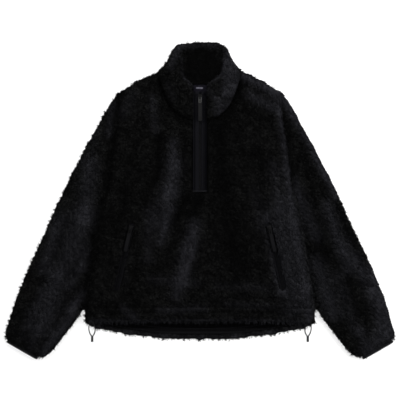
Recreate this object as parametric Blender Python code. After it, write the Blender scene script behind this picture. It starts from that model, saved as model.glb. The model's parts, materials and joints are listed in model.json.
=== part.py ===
"""A high-pile fleece pullover with a half zip, laid flat on its back.

It lies as on a cutting table: +Y runs from hem to collar, +Z is up, and the underside is flat on Z = 0. The
back panel lies lowest and the front panel lies on it. Each sleeve is a flattened tube whose inner margin is
tucked under the side of the body, so the sides of the body are lifted over it. The collar is a C-shaped band,
two layers thick, folded flat at both sides of the neck and closed by the zip.

The wall of each cloth piece is its knitted ground and its pile together. Plan tables are in millimetres, for
the right half (+X), and everything else is in metres.
"""

import math

import bmesh
import bpy
import numpy as np
from mathutils import Matrix, Vector

MM = 0.001

# Cloth
WALL = 7 * MM
COLLAR_WALL = 11 * MM
LAYER_GAP = 0.5 * MM
PUFF = 3.5 * MM
PUFF_REACH = 60 * MM
AIR = 2.8 * MM
EDGE_RADIUS = 9 * MM
EDGE_DROP = 5 * MM
SEAM_RADIUS = 8 * MM
SEAM_DIP = 1.8 * MM

# The sleeve's margin under the side of the body
TUCK_LIFT = 9.2 * MM
TUCK_THICKNESS = 8 * MM
TUCK_FULL = 36 * MM
TUCK_FADE = 58 * MM
TUCK_TOP_Y = 27 * MM
TUCK_TOP_FULL_Y = -18 * MM
TUCK_LOW_FULL_Y = -226 * MM
TUCK_LOW_Y = -273 * MM

# Sleeves
SLEEVE_HEIGHT = 19 * MM
CUFF_HEIGHT = 13 * MM
SLEEVE_GAP = 0.8 * MM
ARMHOLE_GAP = 0.9 * MM
SLEEVE_RISE = 42 * MM
SLEEVE_STEPS = 19
TOP_COUNT = 8
BOTTOM_COUNT = 2
GATHER_DEPTH = 1.6 * MM
BINDING_GAP = 0.4 * MM
BINDING_LENGTH = 5 * MM
BINDING_WALL = 2.2 * MM
BINDING_SHARES = (0, 0.03, 0.09, 0.5, 0.91, 0.97)

# Shares of the sleeve's length, from armhole to cuff
HEAD_END = 0.12
HEAD_BLEND_END = 0.25
CUFF_START = 0.86
GATHER_START = 0.92
GATHER_FADE = 0.08

# Zips
SLIT_HALF = 16 * MM
SLIT_FOOT_Y = 20 * MM
ZIP_TOP_Y = 245 * MM
ZIP_SLIDER_Y = 232 * MM
TAPE_THICK = 1.2 * MM
TAPE_SINK = 2 * MM
TAPE_MARGIN = 0.5 * MM
TAPE_STEP = 14 * MM
CLIMB_Y = 168 * MM
CLIMB_LENGTH = 34 * MM
CHEST_END_Y = 180 * MM
COLLAR_TAPE_Z = 12 * MM
STACK_GAP = 0.3 * MM
SLIDER_GAP = 0.4 * MM
CHAIN_HALF = 2.8 * MM
CHAIN_THICK = 1.8 * MM
POCKET_SLOT_HALF = 7.5 * MM
POCKET_TOP = (153 * MM, -50 * MM)
POCKET_FOOT = (188 * MM, -200 * MM)
CUTTER_LOW = -10 * MM
CUTTER_HEIGHT = 70 * MM
SLIDER_FROM_TOP = 13 * MM
PULL_HEIGHT = 1.3 * MM

# Tape inside the back hem, and neck label
HEM_TAPE_GAP = 0.4 * MM
HEM_TAPE_THICK = 0.7 * MM
LABEL_HALF = 15 * MM
LABEL_ROWS = (240 * MM, 251 * MM, 262.4 * MM)
LABEL_Z = 7.3 * MM
LABEL_THICK = 0.7 * MM

# Hem cords
CORD_DIAMETER = 2.5 * MM
CORD_STEPS = 2
CORD_X = 244 * MM
CORD_END_LENGTH = 13 * MM
CORD_END_RADIUS = 2.8 * MM
CORD_END_Z = 2.85 * MM
CORD_END_GAP = 0.4 * MM
CORD_END_SIDES = 10

# One strand of a hem cord, in millimetres: out from the loop's middle, y, z
CORD_ROUTE = [
    (5.4, -277.8, 11.2),
    (6.6, -284.0, 9.9),
    (7.0, -290.0, 6.2),
    (6.2, -296.4, 3.2),
    (4.2, -301.4, 2.8),
    (1.6, -305.4, 2.8),
]

# Profile of a cord end: share of its radius, share of its length
CORD_END_PROFILE = [(0.72, 0.0), (1.0, 0.18), (0.86, 0.55), (1.0, 0.86), (0.7, 1.0)]

# Plan outlines: x, y. They run from the hem up, or from the centre front out.
HEM_FRONT = [(0, -272), (120, -272.5), (215, -273.5), (261, -276)]
HEM_BACK = [(0, -312.5), (87, -310.2), (134, -305.8), (192, -297), (238, -287), (261, -278.5)]
SIDE = [(261, -277), (260, -246), (253, -211), (241.5, -144), (233, -81), (221, -13), (210, 27)]
ARMHOLE = [(210, 27), (206, 59), (195, 137), (185, 189), (180, 246)]
SHOULDER = [(93, 293), (112, 284), (139.5, 270), (164, 256), (180, 246)]
NECK_FRONT = [
    (0, 184),
    (16.6, 184),
    (38.4, 191.2),
    (60.6, 210.2),
    (77.8, 243.4),
    (88, 273),
    (92.5, 284),
    (93, 293),
]
NECK_BACK = [(0, 263.2), (22, 265.2), (46, 272), (67, 282.5), (80, 287), (93, 293)]

# Sleeve stations from armhole to cuff: inner edge x, y and outer edge x, y
SLEEVE = [
    (210.6, 27, 180.6, 246.4),
    (216.8, 6, 199, 223),
    (222.4, -15, 214, 195),
    (217, -45, 241, 148),
    (209, -75, 270, 93),
    (207, -105, 299, 37),
    (213, -140, 326, -20),
    (226, -175, 353, -77),
    (243, -211, 379, -133),
    (262, -245, 403, -190),
    (284, -276, 422, -240),
    (309, -308, 433, -277),
    (334, -339, 440, -303),
    (349, -352, 438.5, -309.5),
    (365.4, -353.3, 434.6, -313.7),
]

# Collar columns from the zip to the centre back: share of the neck seam, mid height x, y, rim x, y, and turn.
# The share is 0 to 1 on the front neckline and 1 to 2 on the back one. The turn is in degrees: 0 on the front
# layer, 90 on the side fold and 180 on the back layer.
COLLAR = [
    (0.104, 16.6, 222, 16.6, 260, 0),
    (0.28, 31, 230, 24, 266.5, 0),
    (0.46, 46, 244, 34, 275, 0),
    (0.66, 58, 264, 43, 285.5, 0),
    (0.84, 65, 284, 48, 301, 2),
    (0.95, 68.5, 298, 49.5, 317, 14),
    (1.0, 69.5, 308, 50, 333, 45),
    (1.02, 67, 318, 53, 345, 90),
    (1.1, 60, 320, 48, 352.5, 138),
    (1.22, 50, 317, 39, 356, 180),
    (1.46, 36, 313, 27, 357.1, 180),
    (1.72, 18, 310, 13, 357.5, 180),
    (2.0, 0, 310, 0, 357.6, 180),
]
COLLAR_COLUMNS = 26
COLLAR_ROWS = (0.0, 0.1, 0.25, 0.45, 0.65, 0.84, 0.95, 1.0)
COLLAR_FRONT_Z = 13.4 * MM
COLLAR_SIDE_Z = 18.4 * MM
COLLAR_OUT = Vector((0.86, 0.51, 0))
COLLAR_GAP = 0.9 * MM
COLLAR_LEAN = 5 * MM
SIDE_SEAM = Vector((87, 292)) * MM

# Folds of the cloth, placed by hand on both halves: x and y of both ends, half width, height
BODY_FOLDS = [
    (-50, 142, -82, -20, 26, 7),
    (-82, -20, -112, -140, 27, 6),
    (-6, -48, -38, -228, 25, 6.5),
    (-98, 190, -118, 66, 17, 3.5),
    (-165, 120, -176, -10, 20, 2.5),
    (64, 120, 86, -10, 22, 2),
    (104, 40, 122, -76, 20, 3.5),
    (60, -150, 96, -232, 24, 3),
    (150, 170, 168, 30, 18, 2.5),
    (-46, 40, -62, -66, 14, -2.5),
    (36, -60, 40, -180, 24, -2),
]
SLEEVE_FOLDS = [
    (-236, 112, -312, -226, 28, 4),
    (-284, 0, -330, -110, 12, -3.5),
    (-330, -110, -362, -196, 12, -2.5),
    (-372, -205, -404, -285, 16, 3),
    (-300, -262, -352, -318, 14, 2.5),
    (268, 30, 322, -196, 24, 4),
    (272, -92, 312, -168, 15, -4),
    (326, -150, 346, -226, 10, -3),
    (384, -176, 416, -262, 16, 3),
    (296, -262, 346, -316, 13, 2.5),
    (240, 120, 262, 40, 14, 3),
]


def smooth(share):
    """0 below 0, 1 above 1, and an even rise between."""
    share = min(1.0, max(0.0, share))
    return share * share * (3 - 2 * share)


class Curve:
    """A smooth plan curve through points in millimetres, read in metres."""

    STEPS = 12

    def __init__(self, points):
        knots = np.array(points, float) * MM
        spans = np.linalg.norm(np.diff(knots, axis=0), axis=1)[:, None]
        slopes = np.diff(knots, axis=0) / spans
        inner = (slopes[:-1] * spans[1:] + slopes[1:] * spans[:-1]) / (spans[1:] + spans[:-1])
        tangents = np.vstack([slopes[:1], inner, slopes[-1:]])
        t = np.linspace(0, 1, self.STEPS, endpoint=False)[:, None]
        parts = [
            (2 * t**3 - 3 * t**2 + 1) * knots[i]
            + (t**3 - 2 * t**2 + t) * tangents[i] * span
            + (3 * t**2 - 2 * t**3) * knots[i + 1]
            + (t**3 - t**2) * tangents[i + 1] * span
            for i, span in enumerate(spans)
        ]
        self.measure(np.vstack([*parts, knots[-1:]]))

    def measure(self, points):
        """Takes the points, and works out the curve's length and each point's share of it."""
        self.points = points
        steps = np.linalg.norm(np.diff(points, axis=0), axis=1)
        self.length = steps.sum()
        self.along = np.concatenate([[0], np.cumsum(steps)]) / self.length

    def joined(self, other):
        """This curve and then another, with the corner between them kept."""
        both = Curve.__new__(Curve)
        both.measure(np.vstack([self.points, other.points[1:]]))
        return both

    def at(self, share):
        """The point at a share of the curve's length."""
        return np.array([np.interp(share, self.along, self.points[:, k]) for k in (0, 1)])

    def by_knot(self, share):
        """The point at a share of the knots, where every span between two of them counts the same."""
        place = share * (len(self.points) - 1)
        return Vector([np.interp(place, range(len(self.points)), self.points[:, k]) for k in (0, 1)])

    def distance(self, x, y):
        """How far a point of either half is from the curve."""
        start, step = self.points[:-1], np.diff(self.points, axis=0)
        away = np.array([abs(x), y]) - start
        share = np.clip((away * step).sum(1) / (step * step).sum(1), 0, 1)
        return float(np.linalg.norm(away - share[:, None] * step, axis=1).min())

    def x_at(self, y):
        """The curve's x at a height, for a curve that rises all the way."""
        return float(np.interp(y, self.points[:, 1], self.points[:, 0]))


side = Curve(SIDE)
armhole = Curve(ARMHOLE)
shoulder = Curve(SHOULDER)
neck_front = Curve(NECK_FRONT)
neck_back = Curve(NECK_BACK)
hem_front = Curve(HEM_FRONT)
hem_back = Curve(HEM_BACK)


def rounding(distance, radius):
    """The share of its drop that a round edge still has at a distance inside it."""
    inward = max(0.0, 1 - distance / radius)
    return 1 - math.sqrt(1 - inward * inward)


def folds(table, x, y):
    """The height that the folds of a table add at a point."""
    total = 0.0
    for x0, y0, x1, y1, half_width, height in table:
        start, along = Vector((x0, y0)) * MM, Vector((x1 - x0, y1 - y0)) * MM
        away = Vector((x, y)) - start
        share = away.dot(along) / along.length_squared
        nearest = start + along * min(1.0, max(0.0, share))
        beyond = (Vector((x, y)) - nearest).length / (half_width * MM)
        if beyond < 2:
            total += height * MM * math.exp(-1.6 * beyond * beyond)
    return total


def tuck_along(y):
    """How far the body is lifted over the tucked sleeve at a height of its side, from 0 to 1."""
    below_underarm = smooth((TUCK_TOP_Y - y) / (TUCK_TOP_Y - TUCK_TOP_FULL_Y))
    above_hem = smooth((y - TUCK_LOW_Y) / (TUCK_LOW_FULL_Y - TUCK_LOW_Y))
    return below_underarm * above_hem


def tuck_lift(x, y):
    """How far the body is lifted over the tucked sleeve at a point."""
    inside = side.x_at(y) - abs(x)
    return TUCK_LIFT * tuck_along(y) * smooth(1 - (inside - TUCK_FULL) / TUCK_FADE)


def outline_distance(x, y):
    """How far a point is from the body's side and shoulder edges."""
    return min(side.distance(x, y), shoulder.distance(x, y))


def back_bottom(x, y):
    rise = EDGE_DROP * rounding(outline_distance(x, y), EDGE_RADIUS)
    return tuck_lift(x, y) + rise


def back_top(x, y):
    return tuck_lift(x, y) + WALL


def front_lift(x, y):
    """How far the front is raised by the air under it and by its folds."""
    inside = min(outline_distance(x, y), armhole.distance(x, y), neck_front.distance(x, y))
    lift = PUFF * smooth(inside / PUFF_REACH) + folds(BODY_FOLDS, x, y) * smooth(inside / (PUFF_REACH / 2))
    return max(0.0, lift)


def front_bottom(x, y):
    return back_top(x, y) + LAYER_GAP + min(AIR, front_lift(x, y))


def front_top(x, y):
    drop = EDGE_DROP * rounding(outline_distance(x, y), EDGE_RADIUS)
    seams = min(armhole.distance(x, y), neck_front.distance(x, y), hem_front.distance(x, y))
    dip = SEAM_DIP * rounding(seams, SEAM_RADIUS)
    return back_top(x, y) + LAYER_GAP + front_lift(x, y) + WALL - max(drop, dip)


def material(name, colour, roughness, metallic=0.0):
    made = bpy.data.materials.get(name)
    if made is None:
        made = bpy.data.materials.new(name)
        made.use_nodes = True
        shader = made.node_tree.nodes["Principled BSDF"]
        shader.inputs["Base Color"].default_value = (*colour, 1)
        shader.inputs["Roughness"].default_value = roughness
        shader.inputs["Metallic"].default_value = metallic
    return made


def fleece():
    return material("black_fleece", (0.012, 0.012, 0.014), 0.95)


def binding_knit():
    return material("stretch_binding", (0.008, 0.008, 0.009), 0.85)


def zip_tape():
    return material("zip_tape", (0.016, 0.016, 0.02), 0.8)


def zip_coil():
    return material("zip_coil", (0.02, 0.02, 0.022), 0.4)


def gun_metal():
    return material("slider_metal", (0.32, 0.32, 0.33), 0.35, 1.0)


def grip_rubber():
    return material("pull_grip", (0.05, 0.05, 0.055), 0.6)


def cord_nylon():
    return material("elastic_cord", (0.03, 0.03, 0.032), 0.6)


def label_weave():
    return material("neck_label", (0.02, 0.018, 0.03), 0.7)


def add_object(name, mesh, finish):
    """Puts a mesh or curve in the scene, under its name and with its finish."""
    mesh.materials.append(finish)
    obj = bpy.data.objects.new(name, mesh)
    bpy.context.scene.collection.objects.link(obj)
    return obj


def mesh_object(name, bm, finish):
    """Turns an edited mesh into a named object with its faces out."""
    bmesh.ops.recalc_face_normals(bm, faces=bm.faces)
    mesh = bpy.data.meshes.new(name)
    bm.to_mesh(mesh)
    bm.free()
    mesh.shade_smooth()
    mesh.set_sharp_from_angle(angle=math.radians(40))
    return add_object(name, mesh, finish)


def shell(name, outer, inner, finish, wrap=False):
    """A closed wall between two matching grids of points, which run round a tube where wrap is set."""
    bm = bmesh.new()
    layers = [[[bm.verts.new(p) for p in row] for row in grid] for grid in (outer, inner)]
    rows, columns = len(outer), len(outer[0])
    across = range(columns if wrap else columns - 1)
    for i in range(rows - 1):
        for j in across:
            k = (j + 1) % columns
            for layer in layers:
                bm.faces.new((layer[i][j], layer[i][k], layer[i + 1][k], layer[i + 1][j]))
    for i in (0, rows - 1):
        for j in across:
            k = (j + 1) % columns
            bm.faces.new((layers[0][i][j], layers[0][i][k], layers[1][i][k], layers[1][i][j]))
    if not wrap:
        for j in (0, columns - 1):
            for i in range(rows - 1):
                bm.faces.new((layers[0][i][j], layers[0][i + 1][j], layers[1][i + 1][j], layers[1][i][j]))
    return mesh_object(name, bm, finish)


def slab(name, plan, top, bottom, finish):
    """A cloth piece over rows of plan points, between a top and a bottom height."""
    outer = [[(x, y, top(x, y)) for x, y in row] for row in plan]
    inner = [[(x, y, bottom(x, y)) for x, y in row] for row in plan]
    return shell(name, outer, inner, finish)


def patch(foot, head, inner, outer, columns, rows):
    """Rows of plan points across both halves of a panel that four edge curves bound."""
    corners = foot.at(0), foot.at(1), head.at(0), head.at(1)
    plan = []
    for v in rows:
        half = []
        for u in columns:
            ruled = (1 - v) * foot.at(u) + v * head.at(u) + (1 - u) * inner.at(v) + u * outer.at(v)
            flat = (1 - u) * (1 - v) * corners[0] + u * (1 - v) * corners[1]
            half.append(ruled - flat - (1 - u) * v * corners[2] - u * v * corners[3])
        mirrored = [(-x, y) for x, y in reversed(half[1:])]
        plan.append(mirrored + [(x, y) for x, y in half])
    return plan


def shares(length, count, near_start, near_end):
    """Even shares along a length, with closer ones near its ends, given as distances from them."""
    first = near_start[-1] / length if near_start else 0.0
    last = 1 - (near_end[0] / length if near_end else 0.0)
    even = [first + (last - first) * i / count for i in range(count + 1)]
    starts = [0.0] + [d / length for d in near_start[:-1]] if near_start else []
    ends = [1 - d / length for d in near_end[1:]] + [1.0] if near_end else []
    return starts + even + ends


def centre_line(foot, head):
    """The straight line between the inner ends of two curves."""
    low, high = foot.at(0) / MM, head.at(0) / MM
    return Curve([low, (low + high) / 2, high])


PANEL_ROWS = shares(0.54, 19, [4 * MM, 11 * MM, 32 * MM], [10 * MM, 3 * MM])


def panel_columns(head_corner, inner_count, outer_count):
    """Shares across half a panel, with one on the corner between neck and shoulder."""
    inner = [head_corner * i / inner_count for i in range(inner_count)]
    last = 1 - EDGE_RADIUS / hem_front.length
    outer = [head_corner + (last - head_corner) * i / outer_count for i in range(outer_count + 1)]
    return inner + outer + [1 - 3 * MM / hem_front.length, 1.0]


def body_panel(name, hem, neck, inner_count, outer_count, top, bottom):
    """Makes the front or the back panel, and returns its object and its rows of plan points."""
    head = neck.joined(shoulder)
    corner = neck.length / head.length
    columns = panel_columns(corner, inner_count, outer_count)
    plan = patch(hem, head, centre_line(hem, head), side.joined(armhole), columns, PANEL_ROWS)
    return slab(name, plan, top, bottom, fleece()), plan


def slot_cutter(name, low, high, half_width):
    """A hidden box that stands on the line from low to high and cuts a slot through a panel."""
    start, end = Vector(low), Vector(high)
    along = (end - start).normalized()
    out = Vector((along.y, -along.x)) * half_width
    ring = [start - out, start + out, end + out, end - out]
    bm = bmesh.new()
    face = bm.faces.new([bm.verts.new((*p, CUTTER_LOW)) for p in ring])
    raised = bmesh.ops.extrude_face_region(bm, geom=[face])["geom"]
    top = [item for item in raised if isinstance(item, bmesh.types.BMVert)]
    bmesh.ops.translate(bm, verts=top, vec=(0, 0, CUTTER_HEIGHT))
    cutter = mesh_object(name, bm, fleece())
    cutter.hide_render = True
    cutter.display_type = "WIRE"
    return cutter


def cut(obj, cutter):
    """Cuts a hidden box out of a piece."""
    modifier = obj.modifiers.new(cutter.name, "BOOLEAN")
    modifier.operation = "DIFFERENCE"
    modifier.object = cutter


def make_body():
    """The back and front panels, and the tape inside the back hem."""
    _, back_plan = body_panel("back_panel", hem_back, neck_back, 6, 6, back_top, back_bottom)
    make_hem_tape(back_plan)
    front, _ = body_panel("front_panel", hem_front, neck_front, 9, 6, front_top, front_bottom)
    cut(front, slot_cutter("cut_front_zip", (0, SLIT_FOOT_Y), (0, ZIP_TOP_Y), SLIT_HALF))
    for sign, word in ((-1, "left"), (1, "right")):
        foot = (sign * POCKET_FOOT[0], POCKET_FOOT[1])
        top = (sign * POCKET_TOP[0], POCKET_TOP[1])
        cut(front, slot_cutter(f"cut_pocket_{word}", foot, top, POCKET_SLOT_HALF))


def sleeve_height(x, y, station):
    """The whole height of a flattened sleeve at a point, thin where the body lies on it."""
    visible = abs(x) - side.x_at(y) if y < TUCK_TOP_Y else SLEEVE_RISE
    hidden = tuck_along(y) * (1 - smooth((visible - 2 * MM) / SLEEVE_RISE))
    cuff = smooth((station - CUFF_START) / (1 - CUFF_START))
    seam = 1 - smooth(station / HEAD_END)
    seam_height = 2 * WALL + LAYER_GAP
    full = SLEEVE_HEIGHT * (1 - cuff - seam) + CUFF_HEIGHT * cuff + seam_height * seam
    full += folds(SLEEVE_FOLDS, x, y) * (1 - cuff) * (1 - seam)
    return full * (1 - hidden) + TUCK_THICKNESS * hidden


def across_shares(width, count):
    """Shares across a flattened tube, closer together on its two round edges."""
    near = [0.0, 2 * MM / width, 6 * MM / width]
    first = 11 * MM / width
    even = [first + (1 - 2 * first) * i / count for i in range(count + 1)]
    return near + even + [1 - n for n in reversed(near)]


def edge_swell(edge):
    """How full a flattened tube is at a distance from its edge, from 0 to 1."""
    return math.sqrt(1 - max(0.0, 1 - edge / EDGE_RADIUS) ** 2)


def sleeve_loops(sign, station, inner_edge, outer_edge):
    """The outer and inner loops of a flattened sleeve between its two edges at a station, from 0 to 1."""
    width = (outer_edge - inner_edge).length
    along = (outer_edge - inner_edge) / width
    out = Vector((along.y, -along.x))
    gather = smooth((station - GATHER_START) / GATHER_FADE)
    near_armhole = 1 - smooth(station / HEAD_BLEND_END)
    outer, inner = [], []
    first_inner, first_outer = (Vector(p) * MM for p in (SLEEVE[0][:2], SLEEVE[0][2:]))
    for count, upper in ((TOP_COUNT, True), (BOTTOM_COUNT, False)):
        steps = across_shares(width, count)
        if not upper:
            steps = list(reversed(steps))[1:-1]
        for i, share in enumerate(steps):
            centre = inner_edge + along * (share * width)
            seam = Vector(armhole.at(share)) + out * ARMHOLE_GAP
            centre += (seam - first_inner.lerp(first_outer, share)) * near_armhole
            height = sleeve_height(centre.x, centre.y, station)
            if upper and 3 < i < len(steps) - 4:
                height += GATHER_DEPTH * gather * (-1) ** i
            edge = min(share, 1 - share) * width
            swell = edge_swell(edge) * (1 if upper else -1)
            wall = (height - SLEEVE_GAP) / 2
            inward = wall * max(0.0, 1 - edge / EDGE_RADIUS) * (1 if share < 0.5 else -1)
            centre_in = centre + along * inward
            middle = height / 2
            outer.append((sign * centre.x, centre.y, middle + middle * swell))
            inner.append((sign * centre_in.x, centre_in.y, middle + (middle - wall) * swell))
    return outer, inner


sleeve_inner = Curve([row[:2] for row in SLEEVE])
sleeve_outer = Curve([row[2:] for row in SLEEVE])


def make_sleeve(sign, word):
    """One flattened sleeve."""
    outer, inner = [], []
    for i in range(SLEEVE_STEPS + 1):
        station = i / SLEEVE_STEPS
        loops = sleeve_loops(sign, station, sleeve_inner.by_knot(station), sleeve_outer.by_knot(station))
        outer.append(loops[0])
        inner.append(loops[1])
    shell(f"sleeve_{word}", outer, inner, fleece(), wrap=True)


def make_binding(sign, word):
    """The narrow binding round the mouth of a sleeve."""
    inner_edge, outer_edge = sleeve_inner.by_knot(1), sleeve_outer.by_knot(1)
    width = (outer_edge - inner_edge).length
    along = (outer_edge - inner_edge) / width
    out = Vector((along.y, -along.x))
    middle_z = CUFF_HEIGHT / 2
    narrow, flat = 1 - 2 * BINDING_WALL / width, 1 - BINDING_WALL / middle_z
    rings, hollows = [], []
    for reach in (BINDING_GAP, BINDING_LENGTH):
        middle = (inner_edge + outer_edge) / 2 + out * reach
        ring, hollow = [], []
        for side_sign in (1, -1):
            for share in BINDING_SHARES:
                across = along * (side_sign * (share - 0.5) * width)
                rise = side_sign * middle_z * edge_swell(min(share, 1 - share) * width)
                place, place_in = middle + across, middle + across * narrow
                ring.append((sign * place.x, place.y, middle_z + rise))
                hollow.append((sign * place_in.x, place_in.y, middle_z + rise * flat))
        rings.append(ring)
        hollows.append(hollow)
    shell(f"cuff_binding_{word}", rings, hollows, binding_knit(), wrap=True)


collar_middle = Curve([row[1:3] for row in COLLAR])
collar_rim = Curve([row[3:5] for row in COLLAR])


def collar_seam(seam_share):
    """The plan point of the collar's neck seam, just inside the neckline that it is sewn to."""
    curve, share = (neck_front, seam_share) if seam_share < 1 else (neck_back, 2 - seam_share)
    step = 0.02
    share = min(share, 1 - step)
    here, ahead = Vector(curve.at(share)), Vector(curve.at(share + step))
    along = (ahead - here).normalized()
    inward = Vector((-along.y, along.x))
    return here + inward * COLLAR_GAP


def collar_height(share, turn):
    """Height of the middle of the collar's wall at a share of its columns."""
    back = COLLAR_WALL / 2
    front = COLLAR_FRONT_Z + (COLLAR_SIDE_Z - COLLAR_FRONT_Z) * smooth((share - 0.08) / 0.25)
    return (front + back) / 2 + (front - back) / 2 * math.cos(turn)


def collar_half_wall(v):
    """Half the collar's thickness, which is less at the neck seam and at the rolled rim."""
    return COLLAR_WALL / 2 * (1 - 0.25 * (1 - smooth(v / 0.2)) - 0.45 * smooth((v - 0.88) / 0.12))


def make_collar():
    """The stand collar, a C from one side of the zip round the back to the other."""
    knots = np.linspace(0, 1, len(COLLAR))
    outer, inner = [], []
    for v in COLLAR_ROWS:
        halves = []
        for i in range(COLLAR_COLUMNS + 1):
            share = i / COLLAR_COLUMNS
            seam_share = float(np.interp(share, knots, [row[0] for row in COLLAR]))
            turn = math.radians(float(np.interp(share, knots, [row[5] for row in COLLAR])))
            side_share = math.sin(turn) ** 2
            seam = collar_seam(seam_share).lerp(SIDE_SEAM, side_share)
            middle, rim = collar_middle.by_knot(share), collar_rim.by_knot(share)
            place = seam * ((1 - v) * (1 - 2 * v)) + middle * (4 * v * (1 - v)) + rim * (v * (2 * v - 1))
            normal = COLLAR_OUT * math.sin(turn) + Vector((0, 0, math.cos(turn)))
            lean = Vector((COLLAR_LEAN * v * v * math.sin(math.pi * share) ** 2, 0, 0))
            centre = Vector((*place, collar_height(share, turn)))
            halves.append((centre, normal * collar_half_wall(v), lean))
        for side_sign, grid in ((1, outer), (-1, inner)):
            right = [centre + out * side_sign for centre, out, _ in halves]
            leans = [lean for *_, lean in halves]
            mirrored = [Vector((-p.x, p.y, p.z)) + lean for p, lean in zip(right[:-1], leans, strict=False)]
            straight = [p + lean for p, lean in zip(right, leans, strict=True)]
            grid.append(mirrored + list(reversed(straight)))
    shell("collar", outer, inner, fleece())


def make_label():
    """The small blank label sewn in at the back of the neck."""
    plan = [[(x, y) for x in (-LABEL_HALF, 0, LABEL_HALF)] for y in LABEL_ROWS]
    slab("neck_label", plan, lambda x, y: LABEL_Z + LABEL_THICK, lambda x, y: LABEL_Z, label_weave())


def make_hem_tape(plan):
    """The smooth tape sewn inside the back hem, from the back panel's own points, moved out."""
    rows = [row[3:-3] for row in plan[2:4]]

    def top(x, y):
        return back_top(x, y) + HEM_TAPE_GAP + HEM_TAPE_THICK

    def bottom(x, y):
        return back_top(x, y) + HEM_TAPE_GAP

    slab("back_hem_tape", rows, top, bottom, zip_tape())


def front_tape_z(y):
    """Height of the underside of the front zip's tapes, which climb from the chest onto the collar."""
    on_collar = smooth((y - CLIMB_Y) / CLIMB_LENGTH)
    on_chest = front_bottom(0, min(y, CHEST_END_Y)) + TAPE_SINK
    return on_chest * (1 - on_collar) + COLLAR_TAPE_Z * on_collar


def strip(name, line, low_side, high_side, heights, thick, finish):
    """A flat strip along a line of plan points, between two distances from it."""
    start, end = line
    along = (end - start).normalized()
    out = Vector((along.y, -along.x))
    steps = max(2, round((end - start).length / TAPE_STEP))
    outer, inner = [], []
    for i in range(steps + 1):
        centre = start + (end - start) * (i / steps)
        z = heights(centre.x, centre.y)
        ends = [centre + out * low_side, centre + out * high_side]
        outer.append([(p.x, p.y, z + thick) for p in ends])
        inner.append([(p.x, p.y, z) for p in ends])
    return shell(name, outer, inner, finish)


def bevelled_box(bm, low, high, bevel):
    """Adds a box with bevelled edges to a mesh."""
    made = bmesh.ops.create_cube(bm, size=1)["verts"]
    for v in made:
        v.co = Vector([(a + b) / 2 + c * (b - a) for a, b, c in zip(low, high, v.co, strict=True)])
    edges = {e for v in made for e in v.link_edges}
    bmesh.ops.bevel(bm, geom=list(edges), offset=bevel, segments=1, affect="EDGES", clamp_overlap=True)


def put(bm, place, direction):
    """Turns a mesh made along +Y to a plan direction and moves it to a place."""
    turn = math.atan2(direction.y, direction.x) - math.pi / 2
    bmesh.ops.rotate(bm, verts=bm.verts, cent=(0, 0, 0), matrix=Matrix.Rotation(turn, 3, "Z"))
    bmesh.ops.translate(bm, verts=bm.verts, vec=place)


def union(target, tools):
    """Joins hidden pieces into a piece, as one solid."""
    for tool in tools:
        tool.hide_render = True
        tool.display_type = "WIRE"
        modifier = target.modifiers.new(tool.name, "BOOLEAN")
        modifier.operation = "UNION"
        modifier.object = tool


class Hardware:
    """The frame of one slider and its pull: boxes in millimetres about the hinge axis, with +y up the zip."""

    def __init__(self, axis, direction):
        self.axis = axis
        self.direction = direction

    def block(self, name, low, high, bevel, finish):
        bm = bmesh.new()
        bevelled_box(bm, *([c * MM for c in corner] for corner in (low, high)), bevel * MM)
        put(bm, self.axis, self.direction)
        return mesh_object(name, bm, finish)


# Slider and pull, in millimetres about the hinge axis
SLIDER_LOW, SLIDER_HIGH = (-4.6, -9.0, -5.4), (4.6, 7.5, -1.2)
BRIDGE_HALF_WIDTH, BRIDGE_HALF_LENGTH, BRIDGE_INSIDE = 1.2, 3.4, 2.2
BRIDGE_UNDER, BRIDGE_TOP = 1.3, 2.5
PIN_RADIUS, ARM_IN, ARM_OUT = 0.7, 1.7, 3.1
WINDOW_END, TAB_END = -4.4, -11.0
GRIP_START, GRIP_LENGTH, GRIP_HALF_WIDTH, GRIP_HALF_THICK = -11.3, 41.0, 4.0, 1.1


def make_slider(name, axis, direction):
    """A slider: its body and the bridge that the pull hangs from."""
    hardware, finish = Hardware(axis, direction), gun_metal()
    w, length, inside, low = BRIDGE_HALF_WIDTH, BRIDGE_HALF_LENGTH, BRIDGE_INSIDE, SLIDER_HIGH[2] - 1
    body = hardware.block(name, SLIDER_LOW, SLIDER_HIGH, 1.1, finish)
    bridge = [
        ("post_low", (-w, -length, low), (w, -inside, BRIDGE_TOP - 0.2), 0.2),
        ("post_high", (-w, inside, low), (w, length, BRIDGE_TOP - 0.2), 0.2),
        ("bridge", (-w, -length, BRIDGE_UNDER), (w, length, BRIDGE_TOP), 0.35),
    ]
    union(body, [hardware.block(f"{name}_{word}", *corners, finish) for word, *corners in bridge])


def make_pull(name, axis, direction):
    """A pull: a metal tab that turns on its pin under the bridge, and the long grip moulded on it."""
    hardware, finish = Hardware(axis, direction), gun_metal()
    r, lap = PIN_RADIUS, 0.7
    tab = hardware.block(f"{name}_tab", (-ARM_OUT, TAB_END, -r), (ARM_OUT, WINDOW_END, r), 0.3, finish)
    window = [
        ("arm_a", (-ARM_OUT, WINDOW_END - 1, -r), (-ARM_IN, r, r)),
        ("arm_b", (ARM_IN, WINDOW_END - 1, -r), (ARM_OUT, r, r)),
        ("pin", (-ARM_IN - lap, -0.9 * r, -0.9 * r), (ARM_IN + lap, 0.9 * r, 0.9 * r)),
    ]
    union(tab, [hardware.block(f"{name}_{word}", *corners, 0.3, finish) for word, *corners in window])
    low = -GRIP_HALF_WIDTH, GRIP_START - GRIP_LENGTH, -GRIP_HALF_THICK
    high = GRIP_HALF_WIDTH, GRIP_START, GRIP_HALF_THICK
    hardware.block(f"{name}_grip", low, high, 0.9, grip_rubber())


def make_chain(name, line, tape_z):
    """The coil chain on a zip's tape."""
    strip(
        name,
        line,
        -CHAIN_HALF,
        CHAIN_HALF,
        lambda x, y: tape_z(x, y) + TAPE_THICK + STACK_GAP,
        CHAIN_THICK,
        zip_coil(),
    )


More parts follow.
